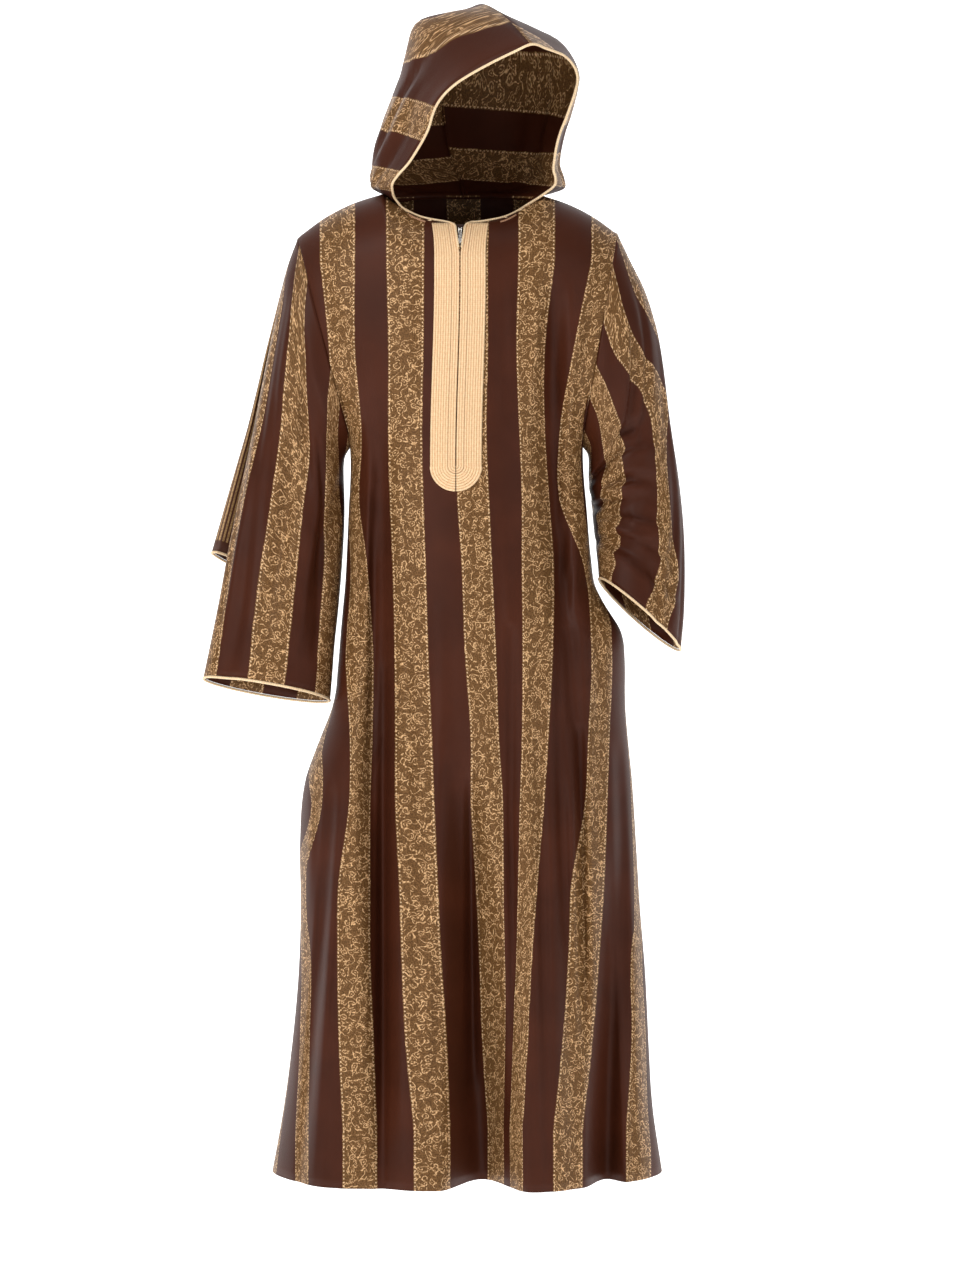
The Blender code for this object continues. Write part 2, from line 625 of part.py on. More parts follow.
def hood_inner(side, outer):
    """Inner points of a hood half; its rims at the centre seam and neckline stay clear."""
    normals = grid_normals(outer, False, 1 if side == "right" else -1)
    sideways = np.array(HOOD_SIDEWAYS)
    for normal in [*normals[-1], *normals[:-1, -1]]:
        normal -= (normal @ sideways) * sideways
    normals[-1, -1] = normals[-1, -3] + normals[-3, -1]
    normals[0, :, 2] = np.minimum(normals[0, :, 2], 0)
    return outer - WALL * unit(normals)


def edge_path(edge, inner_edge, next_in, radius, closed=False):
    """Path of a piping that lies along the rim between two edges of a wall."""
    if closed:
        run = np.roll(edge, -1, axis=0) - np.roll(edge, 1, axis=0)
    else:
        run = np.gradient(edge, axis=0)
    out = unit(np.cross(edge - inner_edge, run))
    out *= np.sign(np.sum(out * (edge - next_in), axis=-1, keepdims=True))
    straight = unit(np.roll(edge, -1, axis=0) - edge)
    turn = np.sum(straight * np.roll(straight, 1, axis=0), axis=-1, keepdims=True)
    if not closed:
        turn[[0, -1]] = 1
    return (edge + inner_edge) / 2 + out * (radius + PIPING_GAP) / np.sqrt((1 + turn) / 2)


# Placket, zip and small trims


def row_at(grid, row, x):
    """Point where a row of a panel's grid passes x."""
    line = grid[row]
    return np.array([np.interp(x, line[:, 0], line[:, axis]) for axis in range(3)])


def on_panel(grid, x, z):
    """Point of a panel's grid at x and z."""
    above = row_at(grid, 0, x)
    for row in range(1, len(grid)):
        below = row_at(grid, row, x)
        if below[2] <= z:
            break
        above = below
    share = (above[2] - z) / (above[2] - below[2])
    return above + (below - above) * share


def placket_base(side, front, normals):
    """Points of the front panel under one half of the placket, and the way out there."""
    sign = -1 if side == "right" else 1
    radii = np.linspace(2 * SEAM_GAP, PLACKET_HALF_WIDTH, 2 * BRAIDS + 1)
    centre_z = PLACKET_HALF_WIDTH - PLACKET_BOTTOM_DROP
    middle = front.shape[1] // 2
    rows = [i for i in range(len(front)) if front[i, middle, 2] > centre_z + ROW_MARGIN]
    base = [[row_at(front, i, PLACKET_X + sign * radius) for radius in radii] for i in rows]
    out = [normals[i, middle + 2 * sign] * (0, 1, 1) for i in rows]
    for i in range(PLACKET_ARC_STEPS + 1):
        angle = math.pi / 2 * i / PLACKET_ARC_STEPS
        inset = SEAM_GAP * math.sin(angle)
        base.append([on_panel(front, PLACKET_X + sign * (radius * math.cos(angle) + inset),
                              centre_z - radius * math.sin(angle)) for radius in radii])
        out.append((0, -1, 0))
    return np.array(base), unit(np.array(out))


def add_placket(side, front, normals, finish):
    """One half of the placket: braids raised side by side over a plain back."""
    base, out = placket_base(side, front, normals)
    base = base + out[:, None] * PLACKET_LIFT
    heights = np.array([BRAID_CREST if j % 2 else BRAID_VALLEY for j in range(base.shape[1])])
    return add_wall(f"placket_{side}", base + out[:, None] * heights[None, :, None], base, finish)


def add_box(name, size, centre, tilt, finish, bevel=0.0004):
    """A small box with softened edges, tilted about X."""
    bpy.ops.mesh.primitive_cube_add(size=1)
    thing = bpy.context.object
    thing.name = thing.data.name = name
    thing.data.transform(Matrix.Diagonal((*size, 1.0)))
    thing.location = centre
    thing.rotation_euler = (tilt, 0, 0)
    soften = thing.modifiers.new("soft_edges", "BEVEL")
    soften.width = bevel
    soften.segments = 1
    thing.data.materials.append(finish)
    for collection in list(thing.users_collection):
        collection.objects.unlink(thing)
    ROBE.objects.link(thing)
    return thing


def cut_with(thing, cutter):
    """Cut an object with a hidden one."""
    cut = thing.modifiers.new(cutter.name, "BOOLEAN")
    cut.operation = "DIFFERENCE"
    cut.solver = "EXACT"
    cut.object = cutter
    if cutter.name not in CUTTERS.objects:
        ROBE.objects.unlink(cutter)
        CUTTERS.objects.link(cutter)
        cutter.display_type = "WIRE"
        cutter.hide_render = True


def add_outline(name, outline, half_thickness, finish):
    """A flat piece from its outline in its own X and Y."""
    flat = bpy.data.curves.new(name, "CURVE")
    flat.dimensions = "2D"
    flat.fill_mode = "BOTH"
    flat.extrude = half_thickness
    spline = flat.splines.new("POLY")
    spline.points.add(len(outline) - 1)
    for knot, (x, y) in zip(spline.points, outline):
        knot.co = (x, y, 0, 1)
    spline.use_cyclic_u = True
    return add_object(name, flat, finish)


def slit_cutter():
    """Wedge that opens the neck slit through the front panel and the placket."""
    corners = [(-SLIT_TOP_HALF_WIDTH, 0), (SLIT_TOP_HALF_WIDTH, 0), (0, -SLIT_DROP)]
    wedge = add_outline("slit_outline", corners, ARMHOLE_DEPTH, SATIN)
    solid = bpy.data.meshes.new_from_object(wedge.evaluated_get(bpy.context.evaluated_depsgraph_get()))
    welded = bmesh.new()
    welded.from_mesh(solid)
    bmesh.ops.remove_doubles(welded, verts=welded.verts, dist=TOUCH)
    welded.to_mesh(solid)
    welded.free()
    bpy.data.objects.remove(wedge, do_unlink=True)
    cutter = add_object("slit", solid, SATIN)
    cutter.location = (PLACKET_X, -2 * ARMHOLE_DEPTH + NECK_DEPTH["front"] / 2, 0)
    cutter.rotation_euler = (math.pi / 2, 0, 0)
    return cutter


def tape_point(tape, drop):
    """Middle of the zip tape's face at a drop."""
    return Vector((PLACKET_X, np.interp(drop, -tape[:, 0, 2], tape[:, 0, 1]), -drop))


def add_zip(front, front_inner):
    """Zip tape behind the slit, with its slider and the pull tab that hangs from it."""
    edge = front_inner[:, front.shape[1] // 2 + 1]
    edge = edge[edge[:, 2] > -UNDERARM_DROP / 2]
    tape = np.array([[(PLACKET_X + x, point[1] + ZIP_TAPE_SETBACK, point[2])
                      for x in (-ZIP_TAPE_HALF_WIDTH, ZIP_TAPE_HALF_WIDTH)] for point in edge])
    add_wall("zip_tape", tape, tape + (0, ZIP_TAPE_THICKNESS, 0), TAPE)

    width, depth, height = SLIDER_SIZE
    slope = tape_point(tape, SLIDER_DROP - height / 2) - tape_point(tape, SLIDER_DROP + height / 2)
    tilt = -math.atan2(slope.y, slope.z)
    outward = Vector((0, -math.cos(tilt), -math.sin(tilt)))
    centre = tape_point(tape, SLIDER_DROP) + outward * (SEAM_GAP + depth / 2)
    slider = add_box("zip_slider", SLIDER_SIZE, centre, tilt, METAL)
    slot_width, slot_depth = SLIDER_SLOT
    cutter = add_box("slider_slot", (slot_width, 2 * slot_depth, 2 * height),
                     centre + outward * (depth / 2), tilt, METAL, bevel=0)
    cut_with(slider, cutter)

    axis = centre + outward * (depth / 2 - slot_depth + PULL_AXIS_CLEARANCE)
    tip_drop = -axis.z + PULL_LENGTH * PULL_TIP_SHARE
    beside = front[:, front.shape[1] // 2 + 1]
    tip = Vector((PLACKET_X, np.interp(tip_drop, -beside[:, 2], beside[:, 1]) - PULL_TIP_HEIGHT, -tip_drop))
    up = (axis - tip).normalized()
    neck, half = PULL_NECK_WIDTH / 2, PULL_WIDTH / 2
    shoulder = height * PULL_NECK_SHARE
    outline = [(-neck, PULL_TOP), (-neck, -shoulder), (-half, -shoulder - PULL_TAPER),
               (-half, -PULL_LENGTH + PULL_CORNER), (-half + PULL_CORNER, -PULL_LENGTH)]
    outline += [(-x, y) for x, y in reversed(outline)]
    tab = add_outline("zip_pull", outline, PULL_THICKNESS / 2, METAL)
    tab.location = axis
    tab.rotation_euler = (math.atan2(up.z, up.y), 0, 0)


def add_neck_piping(side, front, normals):
    """Thin cord on the neckline's seam, a finger's width below its edge."""
    middle = front.shape[1] // 2
    sign = -1 if side == "right" else 1
    picks = [middle + sign * (1 + i) for i in range(3, HOOD_CORNER_STEP + 1)]
    share = NECK_PIPING_SHARE
    path = front[0, picks] * (1 - share) + front[1, picks] * share
    lift = unit(normals[0, picks] + normals[1, picks])
    add_tube(f"neck_piping_{side}", path + lift * (THIN_PIPING_RADIUS + THIN_PIPING_GAP),
             THIN_PIPING_RADIUS, PIPING)


clear_scene()
ROBE = new_collection("hooded_robe")
CUTTERS = new_collection("cutters")
SATIN = material("striped_satin", (0.085, 0.026, 0.018), 0.42)
OVER_SATIN = material("pinstriped_satin", (0.20, 0.10, 0.05), 0.50)
BRAID = material("cream_braid", (0.80, 0.56, 0.33), 0.60)
PIPING = material("cream_piping", (0.78, 0.55, 0.34), 0.55)
TAPE = material("brown_tape", (0.05, 0.020, 0.014), 0.75)
METAL = material("nickel", (0.62, 0.61, 0.58), 0.28, 1.0)

FRONT = panel_grid("front")
FRONT_INNER = panel_inner("front", FRONT)
BACK = panel_grid("back")
SLIT = slit_cutter()
cut_with(add_wall("body_front", FRONT, FRONT_INNER, SATIN), SLIT)
add_wall("body_back", BACK, panel_inner("back", BACK), SATIN)

for hand in ("right", "left"):
    sleeve = sleeve_grid(hand)
    sleeve_inside = sleeve_inner(hand, sleeve)
    add_wall(f"sleeve_{hand}", sleeve, sleeve_inside, SATIN, closed=True)
    rim = edge_path(sleeve[-1], sleeve_inside[-1], sleeve[-2], PIPING_RADIUS, closed=True)
    add_tube(f"cuff_piping_{hand}", rim, PIPING_RADIUS, PIPING, cyclic=True)

over = np.array([[over_sleeve_point(angle, share, row) for angle, share in zip(*OVER_SLEEVE_PATH.values())]
                 for row in OVER_SLEEVE["row"]])
over_inner = over - WALL * grid_normals(over, False, -1)
add_wall("over_sleeve", over, over_inner, OVER_SATIN)
rim = edge_path(over[-1], over_inner[-1], over[-2], PIPING_RADIUS)
add_tube("over_sleeve_piping", rim, PIPING_RADIUS, PIPING)

face_path = {}
for hand, sign in (("right", -1), ("left", 1)):
    half = hood_grid(hand, hood_neckline(hand, FRONT, BACK))
    inside = hood_inner(hand, half)
    add_wall(f"hood_{hand}", half, inside, SATIN)
    face = edge_path(half[:, 0], inside[:, 0], half[:, 1], PIPING_RADIUS)
    face[0] += (face[1] - face[0]) * CORNER_SHARE
    face_path[hand] = face
    picks = [FRONT.shape[1] // 2 + sign * (1 + i) for i in range(HOOD_CORNER_STEP + 2)]
    neck = edge_path(FRONT[0, picks], FRONT_INNER[0, picks], FRONT[1, picks], PIPING_RADIUS)
    neck[-1] += (neck[-2] - neck[-1]) * CORNER_SHARE
    add_tube(f"neck_cord_{hand}", neck, PIPING_RADIUS, PIPING)
peak = (face_path["right"][-1] + face_path["left"][-1]) / 2
around = [*face_path["right"][:-1], peak, *face_path["left"][-2::-1]]
add_tube("hood_piping", around, PIPING_RADIUS, PIPING)

front_normals = grid_normals(FRONT, False, 1)
for hand in ("right", "left"):
    cut_with(add_placket(hand, FRONT, front_normals, BRAID), SLIT)
    add_neck_piping(hand, FRONT, front_normals)
add_zip(FRONT, FRONT_INNER)
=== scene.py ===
import math
from collections import namedtuple

import bmesh
import bpy
import numpy as np
from mathutils import Matrix, Vector


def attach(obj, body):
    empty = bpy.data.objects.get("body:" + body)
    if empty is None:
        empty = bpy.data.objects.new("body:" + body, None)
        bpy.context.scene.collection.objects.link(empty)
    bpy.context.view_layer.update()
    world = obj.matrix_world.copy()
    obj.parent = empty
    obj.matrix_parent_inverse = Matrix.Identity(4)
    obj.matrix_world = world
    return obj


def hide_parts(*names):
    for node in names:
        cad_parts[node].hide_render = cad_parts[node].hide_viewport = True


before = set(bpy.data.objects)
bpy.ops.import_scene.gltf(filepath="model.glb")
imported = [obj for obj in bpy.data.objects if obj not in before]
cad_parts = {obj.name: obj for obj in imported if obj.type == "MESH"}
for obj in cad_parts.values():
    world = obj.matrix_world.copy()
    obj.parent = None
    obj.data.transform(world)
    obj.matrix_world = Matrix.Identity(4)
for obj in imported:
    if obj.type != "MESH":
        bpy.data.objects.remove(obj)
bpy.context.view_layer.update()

# The camera stands level in front of the robe, five metres away, with a long lens.
scene = bpy.context.scene
camera = bpy.data.objects.new("camera", bpy.data.cameras.new("camera"))
scene.collection.objects.link(camera)
CAMERA_PLACE = (0.03, -5.0, -0.656)
VIEW_HEIGHT = 1.9072
camera.location = CAMERA_PLACE
camera.rotation_euler = (math.pi / 2, 0, 0)
camera.data.sensor_fit = "VERTICAL"
camera.data.sensor_height = 36.0
camera.data.lens = camera.data.sensor_height * -CAMERA_PLACE[1] / VIEW_HEIGHT
scene.camera = camera
scene.view_settings.view_transform = "Standard"

# A white paper sweep under and behind the robe, a studio's usual backdrop.
# It is one sheet: a floor that curves up into a wall.
FLOOR_Z = -1.525
WALL_Y = 5.0
WALL_HEIGHT = 7.0
SWEEP_RADIUS = 2.0
SWEEP_HALF_WIDTH = 9.0
SWEEP_FRONT = 8.0
profile = [(-SWEEP_FRONT, FLOOR_Z)]
for angle in np.linspace(0, math.pi / 2, 17):
    back = SWEEP_RADIUS * (1 - math.sin(angle))
    up = SWEEP_RADIUS * (1 - math.cos(angle))
    profile.append((WALL_Y - back, FLOOR_Z + up))
profile.append((WALL_Y, WALL_HEIGHT))
paper = bpy.data.meshes.new("sweep")
paper.from_pydata([(x, y, z) for y, z in profile for x in (-SWEEP_HALF_WIDTH, SWEEP_HALF_WIDTH)], [],
                  [(2 * i, 2 * i + 1, 2 * i + 3, 2 * i + 2) for i in range(len(profile) - 1)])
paper.shade_smooth()
sweep = bpy.data.objects.new("sweep", paper)
scene.collection.objects.link(sweep)
white = bpy.data.materials.new("white_paper")
white.use_nodes = True
paint = white.node_tree.nodes["Principled BSDF"]
paint.inputs["Base Color"].default_value = (0.94, 0.94, 0.94, 1)
paint.inputs["Roughness"].default_value = 0.95
paint.inputs["Emission Color"].default_value = (1, 1, 1, 1)
paint.inputs["Emission Strength"].default_value = 0.92
paper.materials.append(white)

# Soft studio light: a bright room and three large panels, all turned to the robe's middle.
ROBE_MIDDLE = (0, 0, -0.7)
world = bpy.data.worlds.new("room")
scene.world = world
world.use_nodes = True
world.node_tree.nodes["Background"].inputs["Color"].default_value = (1.0, 0.99, 0.98, 1)
world.node_tree.nodes["Background"].inputs["Strength"].default_value = 0.27
for name, place, size, power in (("key_panel", (-2.4, -3.0, 1.6), 1.0, 86),
                                 ("fill_panel", (2.8, -2.6, 0.4), 1.4, 16),
                                 ("top_panel", (0.2, -0.6, 2.9), 1.4, 24)):
    lamp = bpy.data.lights.new(name, "AREA")
    lamp.size = size
    lamp.energy = power
    panel = bpy.data.objects.new(name, lamp)
    panel.location = place
    panel.rotation_euler = (Vector(ROBE_MIDDLE) - Vector(place)).to_track_quat("-Z", "Y").to_euler()
    scene.collection.objects.link(panel)


# Front panel of the body
#
# A trapezoid of satin with wide woven stripes, on the straight grain, sewn to the back panel at
# the shoulders and sides, open at the pocket, with a V slit at the neck under the placket.


def table(names, rows):
    """Named columns of a table; the first one is the place along the piece."""
    return dict(zip(names.split(), np.array(rows, float).T))


def curve(rows, column, at):
    """A column's value on a smooth curve between the rows of its table."""
    keys = next(iter(rows.values()))
    values = rows[column]
    slopes = np.gradient(values, keys)
    at = min(max(at, keys[0]), keys[-1])
    i = min(int(np.searchsorted(keys, at, side="right")) - 1, len(keys) - 2)
    step = keys[i + 1] - keys[i]
    t = (at - keys[i]) / step
    start = values[i] * (1 + 2 * t) * (1 - t) ** 2 + slopes[i] * step * t * (1 - t) ** 2
    end = values[i + 1] * t * t * (3 - 2 * t) - slopes[i + 1] * step * t * t * (1 - t)
    return start + end


def bell(t):
    """One in the middle, falling softly to nought at one and beyond."""
    return 0.5 + 0.5 * math.cos(math.pi * t) if abs(t) < 1 else 0.0


def unit(vectors):
    """Vectors at length one."""
    return vectors / np.linalg.norm(vectors, axis=-1, keepdims=True)


SEAM_GAP = 0.0003
SHOULDER_POINT = {"right": (-0.241, -0.057), "left": (0.234, -0.050)}
UNDERARM_X = {"right": -0.160, "left": 0.180}
UNDERARM_DROP = 0.365
ARMHOLE_DEPTH = 0.085
SHOULDER_ROUND = 0.100
NECK_X = 0.004
NECK_HALF_WIDTH = 0.118
NECK_DEPTH = {"front": 0.100, "back": 0.072}
HEM_DROP = 1.445
PLACKET_X = 0.001
SLIT_STEP = 0.009
POCKET_DROP = 0.607
POCKET_HALF_LENGTH = 0.080
POCKET_ANGLE = 0.16
YOKE_ROWS = 8
SKIRT_DROPS = (0.405, 0.45, 0.495, 0.54, 0.575, 0.607, 0.64, 0.68, 0.73, 0.79, 0.86, 0.94, 1.02,
               1.10, 1.19, 1.28, 1.365, HEM_DROP)
SHOULDER_STEPS = {"front": 10, "back": 8}
NECK_STEPS = {"front": (0.17, 0.33, 0.48, 0.62, 0.74, 0.84, 0.93, 1.0),
              "back": (0.15, 0.30, 0.45, 0.60, 0.74, 0.86, 0.95, 1.0)}

# The body's outline from the front (its two sides) and from the side (front and back)
BODY = table("drop right_x left_x front back", (
    (0.000, -0.241, 0.234, 0.130, 0.112),
    (0.150, -0.205, 0.206, 0.134, 0.118),
    (0.365, -0.160, 0.180, 0.138, 0.120),
    (0.450, -0.165, 0.188, 0.141, 0.119),
    (0.540, -0.169, 0.196, 0.146, 0.121),
    (0.575, -0.171, 0.201, 0.148, 0.123),
    (0.607, -0.174, 0.217, 0.150, 0.125),
    (0.640, -0.177, 0.238, 0.152, 0.128),
    (0.700, -0.182, 0.246, 0.155, 0.133),
    (0.745, -0.187, 0.246, 0.158, 0.137),
    (0.800, -0.207, 0.250, 0.162, 0.142),
    (0.860, -0.229, 0.256, 0.166, 0.147),
    (0.950, -0.238, 0.262, 0.172, 0.155),
    (1.050, -0.237, 0.268, 0.178, 0.165),
    (1.150, -0.240, 0.276, 0.185, 0.176),
    (1.250, -0.249, 0.281, 0.191, 0.187),
    (1.350, -0.262, 0.287, 0.197, 0.197),
    (1.445, -0.279, 0.301, 0.203, 0.207),
))

SHOULDER_LINE = table("out z", (
    (0.00, 0.016), (0.10, 0.010), (0.13, 0.003), (0.165, -0.009), (0.20, -0.027), (0.242, -0.057),
))

NECKLINE = table("out front back", (
    (0.00, -0.048, 0.018), (0.30, -0.044, 0.018), (0.62, -0.032, 0.015),
    (0.84, -0.013, 0.012), (0.95, 0.000, 0.009), (1.00, 0.006, 0.006),
))

# Hanging folds: troughs pressed straight in, each followed down the cloth
SEAM_FADE = 0.12
FOLD_COLUMNS = "drop x width depth"
FOLDS = {
    "front": (
        table(FOLD_COLUMNS, (   # down the right of the skirt
            (0.33, -0.118, 0.020, 0.000), (0.42, -0.113, 0.024, 0.014), (0.54, -0.116, 0.028, 0.026),
            (0.70, -0.114, 0.034, 0.036), (0.90, -0.117, 0.038, 0.044), (1.12, -0.113, 0.036, 0.040),
            (1.28, -0.108, 0.034, 0.028), (1.445, -0.102, 0.032, 0.008))),
        table(FOLD_COLUMNS, (   # from the chest to the left hip
            (0.11, 0.141, 0.026, 0.000), (0.20, 0.138, 0.028, 0.020), (0.35, 0.134, 0.032, 0.036),
            (0.45, 0.138, 0.030, 0.038), (0.54, 0.144, 0.028, 0.030), (0.67, 0.158, 0.026, 0.018),
            (0.80, 0.166, 0.024, 0.008), (0.90, 0.168, 0.024, 0.000))),
        table(FOLD_COLUMNS, (   # recess between the legs
            (0.76, 0.006, 0.036, 0.000), (0.88, 0.010, 0.042, 0.020), (1.00, 0.014, 0.050, 0.045),
            (1.12, 0.020, 0.058, 0.068), (1.28, 0.026, 0.064, 0.090), (1.445, 0.033, 0.068, 0.112))),
        table(FOLD_COLUMNS, (   # outside the left leg
            (0.96, 0.224, 0.026, 0.000), (1.05, 0.222, 0.028, 0.020), (1.15, 0.222, 0.030, 0.034),
            (1.28, 0.216, 0.034, 0.044), (1.445, 0.213, 0.036, 0.056))),
        table(FOLD_COLUMNS, (   # lobe that stands forward low on the left
            (0.84, 0.135, 0.070, 0.000), (1.00, 0.132, 0.072, -0.012), (1.20, 0.128, 0.074, -0.020),
            (1.445, 0.126, 0.076, -0.020))),
        table(FOLD_COLUMNS, (   # lobe in front of the right foot
            (0.80, -0.185, 0.060, 0.000), (1.05, -0.190, 0.066, -0.010), (1.445, -0.195, 0.076, -0.022))),
    ),
    "back": (
        table(FOLD_COLUMNS, (
            (0.30, -0.118, 0.030, 0.000), (0.60, -0.122, 0.034, 0.016), (1.00, -0.150, 0.040, 0.026),
            (1.445, -0.172, 0.044, 0.044))),
        table(FOLD_COLUMNS, (
            (0.46, -0.052, 0.032, 0.000), (0.80, -0.060, 0.038, 0.018), (1.20, -0.072, 0.046, 0.040),
            (1.445, -0.080, 0.050, 0.060))),
        table(FOLD_COLUMNS, (
            (0.20, 0.006, 0.026, 0.000), (0.50, 0.010, 0.032, 0.014), (0.90, 0.014, 0.038, 0.020),
            (1.445, 0.022, 0.040, 0.030))),
        table(FOLD_COLUMNS, (
            (0.40, 0.088, 0.030, 0.000), (0.75, 0.096, 0.038, 0.022), (1.15, 0.112, 0.044, 0.038),
            (1.445, 0.124, 0.050, 0.056))),
        table(FOLD_COLUMNS, (
            (0.70, 0.186, 0.028, 0.000), (1.05, 0.196, 0.034, 0.022), (1.445, 0.212, 0.040, 0.044))),
    ),
}

Column = namedtuple("Column", "spread top_z start")


def armhole_fall(s):
    """How far down the armhole its edge is, as s goes from the shoulder to the underarm."""
    return 0.5 - 0.5 * math.cos(math.pi * s)


def round_over(drop):
    """How far the cloth has come out over the rounded shoulder."""
    return math.sqrt(1 - (1 - min(max(drop, 0) / SHOULDER_ROUND, 1)) ** 2)


def edge_angle(side, face, s):
    """Angle round the body at which a panel ends at the armhole."""
    s = min(max(s, 0.02), 1)
    fall = armhole_fall(s)
    depth = curve(BODY, face, UNDERARM_DROP * fall)
    depth *= round_over((SHOULDER_POINT[side][1] + UNDERARM_DROP) * fall)
    return math.acos(min(ARMHOLE_DEPTH * math.sin(math.pi * s) / depth, 1))


def yoke_sides(fall):
    """The two armhole edges' x, straight from the shoulder point to the underarm."""
    return [SHOULDER_POINT[side][0] * (1 - fall) + UNDERARM_X[side] * fall for side in ("right", "left")]


def panel_column(face, x):
    """The column of a panel that starts at x on its shoulder seam or neckline."""
    right_x, left_x = yoke_sides(0)
    side = "left" if x > (right_x + left_x) / 2 else "right"
    limit = edge_angle(side, face, 0)
    ratio = (2 * x - right_x - left_x) / (left_x - right_x)
    spread = math.asin(max(-1, min(1, ratio)) * math.sin(limit)) / limit
    out = abs(x - NECK_X) / NECK_HALF_WIDTH
    if out >= 1:
        top = SHOULDER_POINT[side][1] if abs(ratio) > 0.999 else curve(SHOULDER_LINE, "z", abs(x))
        return Column(spread, top, 0)
    reach = NECK_DEPTH[face] * math.sqrt(1 - out * out)
    reach = min(reach / (curve(BODY, face, 0.03) * math.cos(spread * limit)), 0.97)
    above = SHOULDER_ROUND * (1 - math.sqrt(1 - reach ** 2))
    top = curve(NECKLINE, face, out) + above
    return Column(spread, top, math.acos(1 - 2 * above / (top + UNDERARM_DROP)) / math.pi)


def fold_depth(face, x, drop):
    """How far the folds press a panel in at a place."""
    total = 0
    for fold in FOLDS[face]:
        if drop > fold["drop"][0]:
            across = (x - curve(fold, "x", drop)) / curve(fold, "width", drop)
            total += curve(fold, "depth", drop) * bell(across)
    return total


def panel_point(face, column, drop):
    """Point of a panel's outer side on a column, at a drop."""
    side = "left" if column.spread > 0 else "right"
    if drop < UNDERARM_DROP:
        fall = max((column.top_z + drop) / (column.top_z + UNDERARM_DROP), 0)
        right_x, left_x = yoke_sides(fall)
        limit = edge_angle(side, face, math.acos(1 - 2 * fall) / math.pi)
        depth = curve(BODY, face, UNDERARM_DROP * fall) * round_over(column.top_z + drop)
    else:
        right_x = curve(BODY, "right_x", drop)
        left_x = curve(BODY, "left_x", drop)
        depth = curve(BODY, face, drop)
        limit = math.pi / 2
        if side == "left":
            limit -= POCKET_ANGLE * bell((drop - POCKET_DROP) / POCKET_HALF_LENGTH)
    angle = column.spread * limit
    x = (right_x + left_x) / 2 + (left_x - right_x) / 2 * math.sin(angle) / math.sin(limit)
    edge_fade = min(1, (1 - abs(column.spread)) / SEAM_FADE)
    y = depth * math.cos(angle) - fold_depth(face, x, drop) * edge_fade + SEAM_GAP / 2
    return np.array((x, -y if face == "front" else y, -drop))


def panel_columns(face, fineness):
    """Columns of a panel, from the right armhole to the left one."""
    steps = NECK_STEPS[face]
    neck = [NECK_X + NECK_HALF_WIDTH * step for step in steps]
    middle = [PLACKET_X + x for x in (-SLIT_STEP, 0, SLIT_STEP)] if face == "front" else [NECK_X]
    starts = [2 * NECK_X - x for x in reversed(neck)] + middle + neck
    count = SHOULDER_STEPS[face]
    right_x, left_x = yoke_sides(0)
    for side, sign in (("right", -1), ("left", 1)):
        limit = edge_angle(side, face, 0)
        inside = panel_column(face, starts[0 if side == "right" else -1]).spread
        for i in range(1, count + 1):
            spread = inside + (sign - inside) * i / count
            x = (right_x + left_x) / 2 + (left_x - right_x) / 2 * math.sin(spread * limit) / math.sin(limit)
            starts.insert(0, x) if side == "right" else starts.append(x)
    places = np.linspace(0, len(starts) - 1, fineness * (len(starts) - 1) + 1)
    return [panel_column(face, x) for x in np.interp(places, range(len(starts)), starts)]


def column_drops(column, fineness):
    """Drops of the rows on a column: the yoke's rows, then the skirt's."""
    drops = []
    for i in range(YOKE_ROWS * fineness + 1):
        fall = armhole_fall(column.start + (1 - column.start) * i / YOKE_ROWS / fineness)
        drops.append((column.top_z + UNDERARM_DROP) * fall - column.top_z)
    knots = (drops[-1], *SKIRT_DROPS)
    places = np.linspace(0, len(knots) - 1, fineness * (len(knots) - 1) + 1)
    return drops + list(np.interp(places, range(len(knots)), knots))[1:]


def panel_grid(face, fineness):
    """Outer points of a panel, its rows going down and its columns to the left."""
    columns = panel_columns(face, fineness)
    rows = zip(*[column_drops(column, fineness) for column in columns])
    return np.array([[panel_point(face, column, drop) for column, drop in zip(columns, row)]
                     for row in rows])


def refine(grid, count, axis):
    """A grid with count steps between each pair of its points along an axis, on smooth curves."""
    grid = np.moveaxis(grid, axis, 0)
    steps = np.linalg.norm(np.diff(grid, axis=0), axis=-1).mean(axis=1)
    keys = np.concatenate([[0], np.cumsum(steps)])
    slopes = np.gradient(grid, keys, axis=0)
    at = np.linspace(0, len(grid) - 1, count * (len(grid) - 1) + 1)
    i = np.minimum(at.astype(int), len(grid) - 2)
    t = (at - i)[:, None, None]
    step = steps[i][:, None, None]
    fine = grid[i] * (1 + 2 * t) * (1 - t) ** 2 + slopes[i] * step * t * (1 - t) ** 2
    fine += grid[i + 1] * t * t * (3 - 2 * t) - slopes[i + 1] * step * t * t * (1 - t)
    return np.moveaxis(fine, 0, axis)


def relaxed(grid, drop, reach, passes):
    """A grid with its rows near a drop drawn smooth, all but its edges."""
    share = soft((-grid[..., 2] - drop) / reach)
    share[:, :2] = share[:, -2:] = share[0] = share[-1] = 0
    for _ in range(passes):
        near = grid.copy()
        near[1:-1] = (grid[:-2] + grid[2:]) / 2
        grid = grid + (near - grid) * share[..., None]
    return grid


def normals_of(grid, outward):
    """Outward normals of a grid of points."""
    return outward * unit(np.cross(np.gradient(grid, axis=0), np.gradient(grid, axis=1)))


def soft(t):
    """One in the middle, falling softly to nought at one and beyond, for whole arrays."""
    return np.where(np.abs(t) < 1, 0.5 + 0.5 * np.cos(math.pi * np.clip(t, -1, 1)), 0)


# A crease is already this share of a half wave deep at either end of its run
CREASE_TAPER = 0.12


